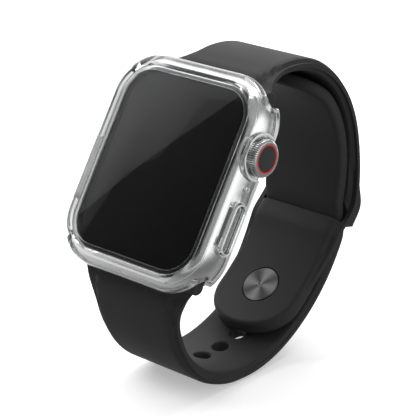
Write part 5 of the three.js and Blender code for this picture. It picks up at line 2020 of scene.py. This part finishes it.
@dataclass
class Insides:
    """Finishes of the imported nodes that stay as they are, and the charging coil's windings."""

    shop: Workshop
    coil_inner: float = 8.7
    coil_outer: float = 11.9
    coil_low: float = 0.3
    coil_height: float = 0.4
    film: float = 0.04
    turns: float = 9.0

    NODE_FINISHES: ClassVar[dict[str, str]] = {
        "display_gasket": "seal_rubber",
        "display_panel": "black_cover_glass",
        "sensor_board": "board_mask",
        "logic_board": "board_mask",
        "battery": "cell_pouch",
        "haptic_motor": "pin_steel",
        "speaker_module": "dark_moulded_plastic",
        "microphone": "pin_steel",
        "crown_bush": "bush_brass",
        "crown_seal": "seal_rubber",
        "crown_switch": "dark_moulded_plastic",
        "side_button_switch": "dark_moulded_plastic",
        "crown_thrust_plate": "pin_steel",
        "crown_shaft": "pin_steel",
        "pin_strap_catch": "pin_steel",
        "hole_strap_catch": "pin_steel",
    }

    def dress(self, frame: dict) -> None:
        """Gives the carried-over nodes their finishes.

        Args:
            frame: The loaded frame.
        """
        for node, finish in self.NODE_FINISHES.items():
            mesh = frame["nodes"][node].data
            for number in range(len(mesh.materials)):
                mesh.materials[number] = self.shop.paint[finish]
            if not mesh.materials:
                mesh.materials.append(self.shop.paint[finish])
            log.info("%s: packed node in %s", node, finish)

    @staticmethod
    def coil_tree() -> Tree:
        """Builds the node tree that winds a flat coil.

        Returns:
            The tree, with named inputs for its sizes and the material.
        """
        nodes = Nodes(bpy.data.node_groups.new("coil_windings", "GeometryNodeTree"))
        for name in ("Turns", "Inner Radius", "Outer Radius", "Wire Radius"):
            nodes.socket(name, "Float", 1.0)
        nodes.socket("Material", "Material")
        nodes.socket("Geometry", "Geometry", out=True)
        given = nodes.add("NodeGroupInput")
        spiral = nodes.add(
            "GeometryNodeCurveSpiral",
            {"Resolution": 48, "Rotations": given["Turns"], "Start Radius": given["Inner Radius"],
             "End Radius": given["Outer Radius"], "Height": 0.0},
        )
        ring = {"Resolution": 8, "Radius": given["Wire Radius"]}
        wire = nodes.add("GeometryNodeCurvePrimitiveCircle", ring)
        sweep = {"Curve": spiral[0], "Profile Curve": wire[0], "Fill Caps": True}
        tube = nodes.add("GeometryNodeCurveToMesh", sweep)
        nodes.realise(tube[0], given["Material"])
        return nodes.tree

    def make_coil(self) -> None:
        """Winds the charging coil with a node tree."""
        shop = self.shop
        copper, wire = "winding_copper", self.coil_height / 2 - self.film
        coil = into_scene("coil", bpy.data.meshes.new("coil"))
        shop.grow(coil, self.coil_tree(), {
            "Turns": self.turns, "Inner Radius": self.coil_inner + wire,
            "Outer Radius": self.coil_outer - wire, "Wire Radius": wire, "Material": shop.paint[copper],
        })
        coil.data.transform(Matrix.Translation((0, 0, self.coil_low + self.coil_height / 2)))
        shop.finish(coil, "coil_windings", copper, "case", "coil_copper", ["charging_coil"])


# The studio


@dataclass(frozen=True)
class SoftBox:
    """A soft glowing panel of the surroundings, by its direction from the watch in degrees."""

    azimuth: float
    elevation: float
    wide: float
    high: float
    strength: float
    edge: float = 0.3

    def glow(self, nodes: Nodes, direction: Socket) -> Socket:
        """Builds the panel's brightness in each direction.

        Args:
            nodes: The world's node builder.
            direction: Direction that is looked in.

        Returns:
            Its brightness there.
        """
        ahead = nodes.dot(direction, toward(self.azimuth, self.elevation))
        right = toward(self.azimuth + 90, 0.0)
        above = toward(self.azimuth, self.elevation + 90)
        mask = nodes.math("GREATER_THAN", ahead, 0.0)
        for axis, size in ((right, self.wide), (above, self.high)):
            slope = nodes.math("ABSOLUTE", nodes.math("DIVIDE", nodes.dot(direction, axis), ahead))
            reach = math.tan(math.radians(size / 2))
            mask = nodes.math("MULTIPLY", mask, nodes.ramp(slope, reach * (1 - self.edge), reach, 1.0, 0.0))
        return nodes.math("MULTIPLY", mask, self.strength)


@dataclass(frozen=True)
class Lamp:
    """A square soft light, in metres and watts."""

    name: str
    place: Triple
    side: float
    power: float


@dataclass
class Studio:
    """Camera, floor, soft lights and the cards that the glossy parts mirror."""

    shop: Workshop
    camera_from_head: Triple = (228.288, -244.857, 120.248)
    azimuth: float = 42.176
    elevation: float = 20.664
    lens: float = 149.42
    sensor: float = 36.0
    clip: Pair = (0.01, 20.0)
    pane_top: float = 9.1
    floor_size: float = 6.0
    floor_paper: float = 0.9
    floor_grey: float = 0.4
    floor_lift: float = 0.36
    floor_pool: Pair = (0.9, 0.18)
    pool_fall: Pair = (-0.06, 0.08)
    pool_rise: Pair = (0.09, 0.35)
    pool_slant: Colour = (1.0, -0.6, 0.0)
    world_tones: Pair = (0.2, 0.45)
    world_top: float = 0.9
    card_distance: float = 0.5
    card_side: float = 0.35
    light_side: float = 0.2
    light_card: Triple = (0.3, 0.75, 0.25)
    dark_card: Triple = (0.085, 0.045, 0.14)
    middle_pixel: Pair = (160.0, 155.0)
    bright_pixel: Pair = (100.0, 100.0)
    edge_pixels: tuple[Pair, ...] = ((77.0, 215.5), (100.0, 197.0), (140.0, 164.5), (180.0, 136.5),
                                     (210.0, 116.0), (240.0, 95.0))
    boxes: tuple[SoftBox, ...] = (
        SoftBox(92.0, 16.0, 96.0, 50.0, 1.35, 0.5),
        SoftBox(-120.0, 26.0, 74.0, 62.0, 1.4, 0.4),
    )
    lamps: tuple[Lamp, ...] = (
        Lamp("key_light", (-0.5, -0.35, 0.9), 0.7, 5.0),
        Lamp("top_light", (-0.15, 0.6, 1.0), 0.7, 6.5),
    )
    aim: Triple = (0.0, 0.0, 0.03)

    @staticmethod
    def turn_to(piece: Piece, ahead: Vector) -> None:
        """Turns a camera or a light to look along a direction."""
        piece.rotation_mode = "QUATERNION"
        piece.rotation_quaternion = ahead.to_track_quat("-Z", "Y")

    def make_camera(self) -> Piece:
        """Makes the camera at the photograph's viewing angle and place.

        Returns:
            The camera.
        """
        camera = into_scene("camera", bpy.data.cameras.new("camera"))
        camera.data.lens = self.lens
        camera.data.sensor_width = self.sensor
        camera.data.clip_start, camera.data.clip_end = self.clip
        camera.location = self.shop.origin + Vector(self.camera_from_head) * MM
        self.turn_to(camera, -Vector(toward(self.azimuth, self.elevation)))
        bpy.context.scene.camera = camera
        bpy.context.view_layer.update()
        return camera

    def mirrored(self, camera: Piece, pixel: Pair) -> tuple[Vector, Vector]:
        """Follows a pixel to the display and off it.

        Args:
            camera: The camera.
            pixel: Place in the photograph.

        Returns:
            The place on the pane and the mirrored direction.
        """
        half = IMAGE_SIDE / 2
        slope = self.sensor / 2 / self.lens
        local = Vector(((pixel[0] - half) / half * slope, (half - pixel[1]) / half * slope, -1))
        ray = (camera.matrix_world.to_3x3() @ local).normalized()
        normal = (self.shop.stand.to_3x3() @ Vector((0, 0, 1))).normalized()
        start = camera.location
        on_pane = self.shop.stand @ Vector((0, 0, self.pane_top))
        hit = start + ray * ((on_pane - start).dot(normal) / ray.dot(normal))
        return hit, ray - 2 * ray.dot(normal) * normal

    def card(self, name: str, chain: Sequence[Vector], away: Vector, glow: Triple) -> None:
        """Makes a glowing card that only mirrored and bent rays see.

        Args:
            name: Name of the card.
            chain: Places along its first edge, in the row frame.
            away: From the first edge to the far edge.
            glow: How bright it is along its first edge and past the fade, and the share of the way to the far
                edge where the fade ends.
        """
        near, far, fade = glow
        count = len(chain)
        places = [*chain, *(place + away for place in chain)]
        faces = [(n, n + 1, n + 1 + count, n + count) for n in range(count - 1)]
        mesh = bpy.data.meshes.new(name)
        mesh.from_pydata([tuple(place) for place in places], [], faces)
        layer = mesh.uv_layers.new(name="fade")
        for loop in mesh.loops:
            layer.data[loop.index].uv = (0.0, float(loop.vertex_index >= count))
        card = into_scene(name, mesh)
        material, nodes = start_glow(name)
        uv = nodes.add("ShaderNodeUVMap", uv_map="fade")[0]
        up = nodes.add("ShaderNodeSeparateXYZ", {0: uv})["Y"]
        light = nodes.add("ShaderNodeEmission", {"Strength": nodes.ramp(up, 0, fade, near, far)})
        nodes.add("ShaderNodeOutputMaterial", {"Surface": light[0]})
        mesh.materials.append(material)
        card.visible_camera = card.visible_diffuse = card.visible_shadow = False

    def make_cards(self, camera: Piece) -> None:
        """Sets the light card and the dark card whose meeting edge crosses the display.

        Args:
            camera: The camera.
        """
        hit, middle_ray = self.mirrored(camera, self.middle_pixel)
        middle_ray.normalize()
        centre = hit + middle_ray * self.card_distance

        def on_card(pixel: Pair) -> Vector:
            """Returns the place on the cards' plane that a pixel of the display mirrors."""
            start, ray = self.mirrored(camera, pixel)
            return start + ray * ((centre - start).dot(middle_ray) / ray.dot(middle_ray))

        marks = [on_card(pixel) for pixel in self.edge_pixels]
        first, last = (marks[0] - marks[1]).normalized(), (marks[-1] - marks[-2]).normalized()
        chain = [marks[0] + first * self.card_side, *marks, marks[-1] + last * self.card_side]
        along = (marks[-1] - marks[0]).normalized()
        away = on_card(self.bright_pixel) - marks[0]
        away = (away - along * away.dot(along)).normalized()
        self.card("light_card", chain, away * self.light_side, self.light_card)
        self.card("dark_card", chain, -away * self.card_side, self.dark_card)

    def make_floor(self) -> None:
        """Makes the white floor; mirrored rays see a painted pool of light on it, bright on the left and
        falling off to the right.
        """
        half = self.floor_size / 2
        mesh = bpy.data.meshes.new("floor")
        corners = [(-half, -half, 0), (half, -half, 0), (half, half, 0), (-half, half, 0)]
        mesh.from_pydata(corners, [], [(0, 1, 2, 3)])
        floor = into_scene("floor", mesh)
        material, nodes = start_glow("studio_floor")
        path = nodes.add("ShaderNodeLightPath")
        bounced = nodes.math("ADD", path["Glossy Depth"], path["Diffuse Depth"])
        away = nodes.math("GREATER_THAN", bounced, 0.5)
        mirrored = nodes.math("GREATER_THAN", path["Glossy Depth"], 0.5)
        paper = nodes.add("ShaderNodeBsdfDiffuse", {"Color": (*[self.floor_paper] * 3, 1)})
        lift = nodes.add("ShaderNodeEmission", {"Strength": self.floor_lift})
        white = nodes.add("ShaderNodeAddShader", {0: paper[0], 1: lift[0]})
        # Painted pool of light: an emission that only mirrored rays see, bright on the left and dim to the
        # right.
        across = nodes.dot(nodes.add("ShaderNodeTexCoord")["Object"], self.pool_slant)
        lit, dim = self.floor_pool
        fall = nodes.ramp(across, *self.pool_fall, lit, dim)
        rise = nodes.ramp(across, *self.pool_rise, dim, lit)
        glow = nodes.add("ShaderNodeEmission", {"Strength": nodes.math("MAXIMUM", fall, rise)})
        grey = nodes.add("ShaderNodeBsdfDiffuse", {"Color": (*[self.floor_grey] * 3, 1)})
        seen = nodes.add("ShaderNodeMixShader", {0: mirrored, 1: grey[0], 2: glow[0]})
        shader = nodes.add("ShaderNodeMixShader", {0: away, 1: white[0], 2: seen[0]})
        nodes.add("ShaderNodeOutputMaterial", {"Surface": shader[0]})
        mesh.materials.append(material)

    def make_lights(self) -> None:
        """Makes the large soft lights."""
        for lamp in self.lamps:
            light = into_scene(lamp.name, bpy.data.lights.new(lamp.name, "AREA"))
            light.data.shape = "SQUARE"
            light.data.size = lamp.side
            light.data.energy = lamp.power
            light.location = lamp.place
            self.turn_to(light, Vector(self.aim) - Vector(lamp.place))

    def make_world(self) -> None:
        """Makes the surroundings: white behind the object, a soft grey studio with its panels round it."""
        world = bpy.data.worlds.new("studio")
        bpy.context.scene.world = world
        world.use_nodes = True
        nodes = Nodes(world.node_tree)
        world.node_tree.nodes.clear()
        path = nodes.add("ShaderNodeLightPath")
        bounced = nodes.math("ADD", path["Glossy Depth"], path["Diffuse Depth"])
        straight = nodes.math("LESS_THAN", bounced, 0.5)
        through = nodes.math("MULTIPLY", path["Is Transmission Ray"], straight)
        seen = nodes.math("MAXIMUM", path["Is Camera Ray"], through)
        direction = nodes.add("ShaderNodeTexCoord")["Generated"]
        up = nodes.add("ShaderNodeSeparateXYZ", {0: direction})["Z"]
        glow = nodes.ramp(up, 0.0, self.world_top, *self.world_tones)
        for box in self.boxes:
            glow = nodes.math("ADD", glow, box.glow(nodes, direction))
        around = nodes.add("ShaderNodeBackground", {"Color": (1, 1, 1, 1), "Strength": glow})
        behind = nodes.add("ShaderNodeBackground", {"Color": (1, 1, 1, 1), "Strength": 1.0})
        shader = nodes.add("ShaderNodeMixShader", {0: seen, 1: around[0], 2: behind[0]})
        nodes.add("ShaderNodeOutputWorld", {"Surface": shader[0]})

    def make(self) -> None:
        """Sets up the whole studio."""
        bpy.context.scene.view_settings.view_transform = "Standard"
        self.make_cards(self.make_camera())
        self.make_floor()
        self.make_lights()
        self.make_world()


def main() -> None:
    """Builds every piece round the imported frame."""
    logging.basicConfig(level=logging.INFO, format="%(message)s")
    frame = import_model()
    shop = Workshop()
    band, case, crown, insides = Band(shop), CaseBody(shop), Crown(shop), Insides(shop)
    band.make()
    case.make(band)
    case.make_back()
    crown.make()
    Protector(shop, case, band, crown).make()
    insides.dress(frame)
    insides.make_coil()
    Studio(shop).make()


if __name__ == "__main__":
    main()
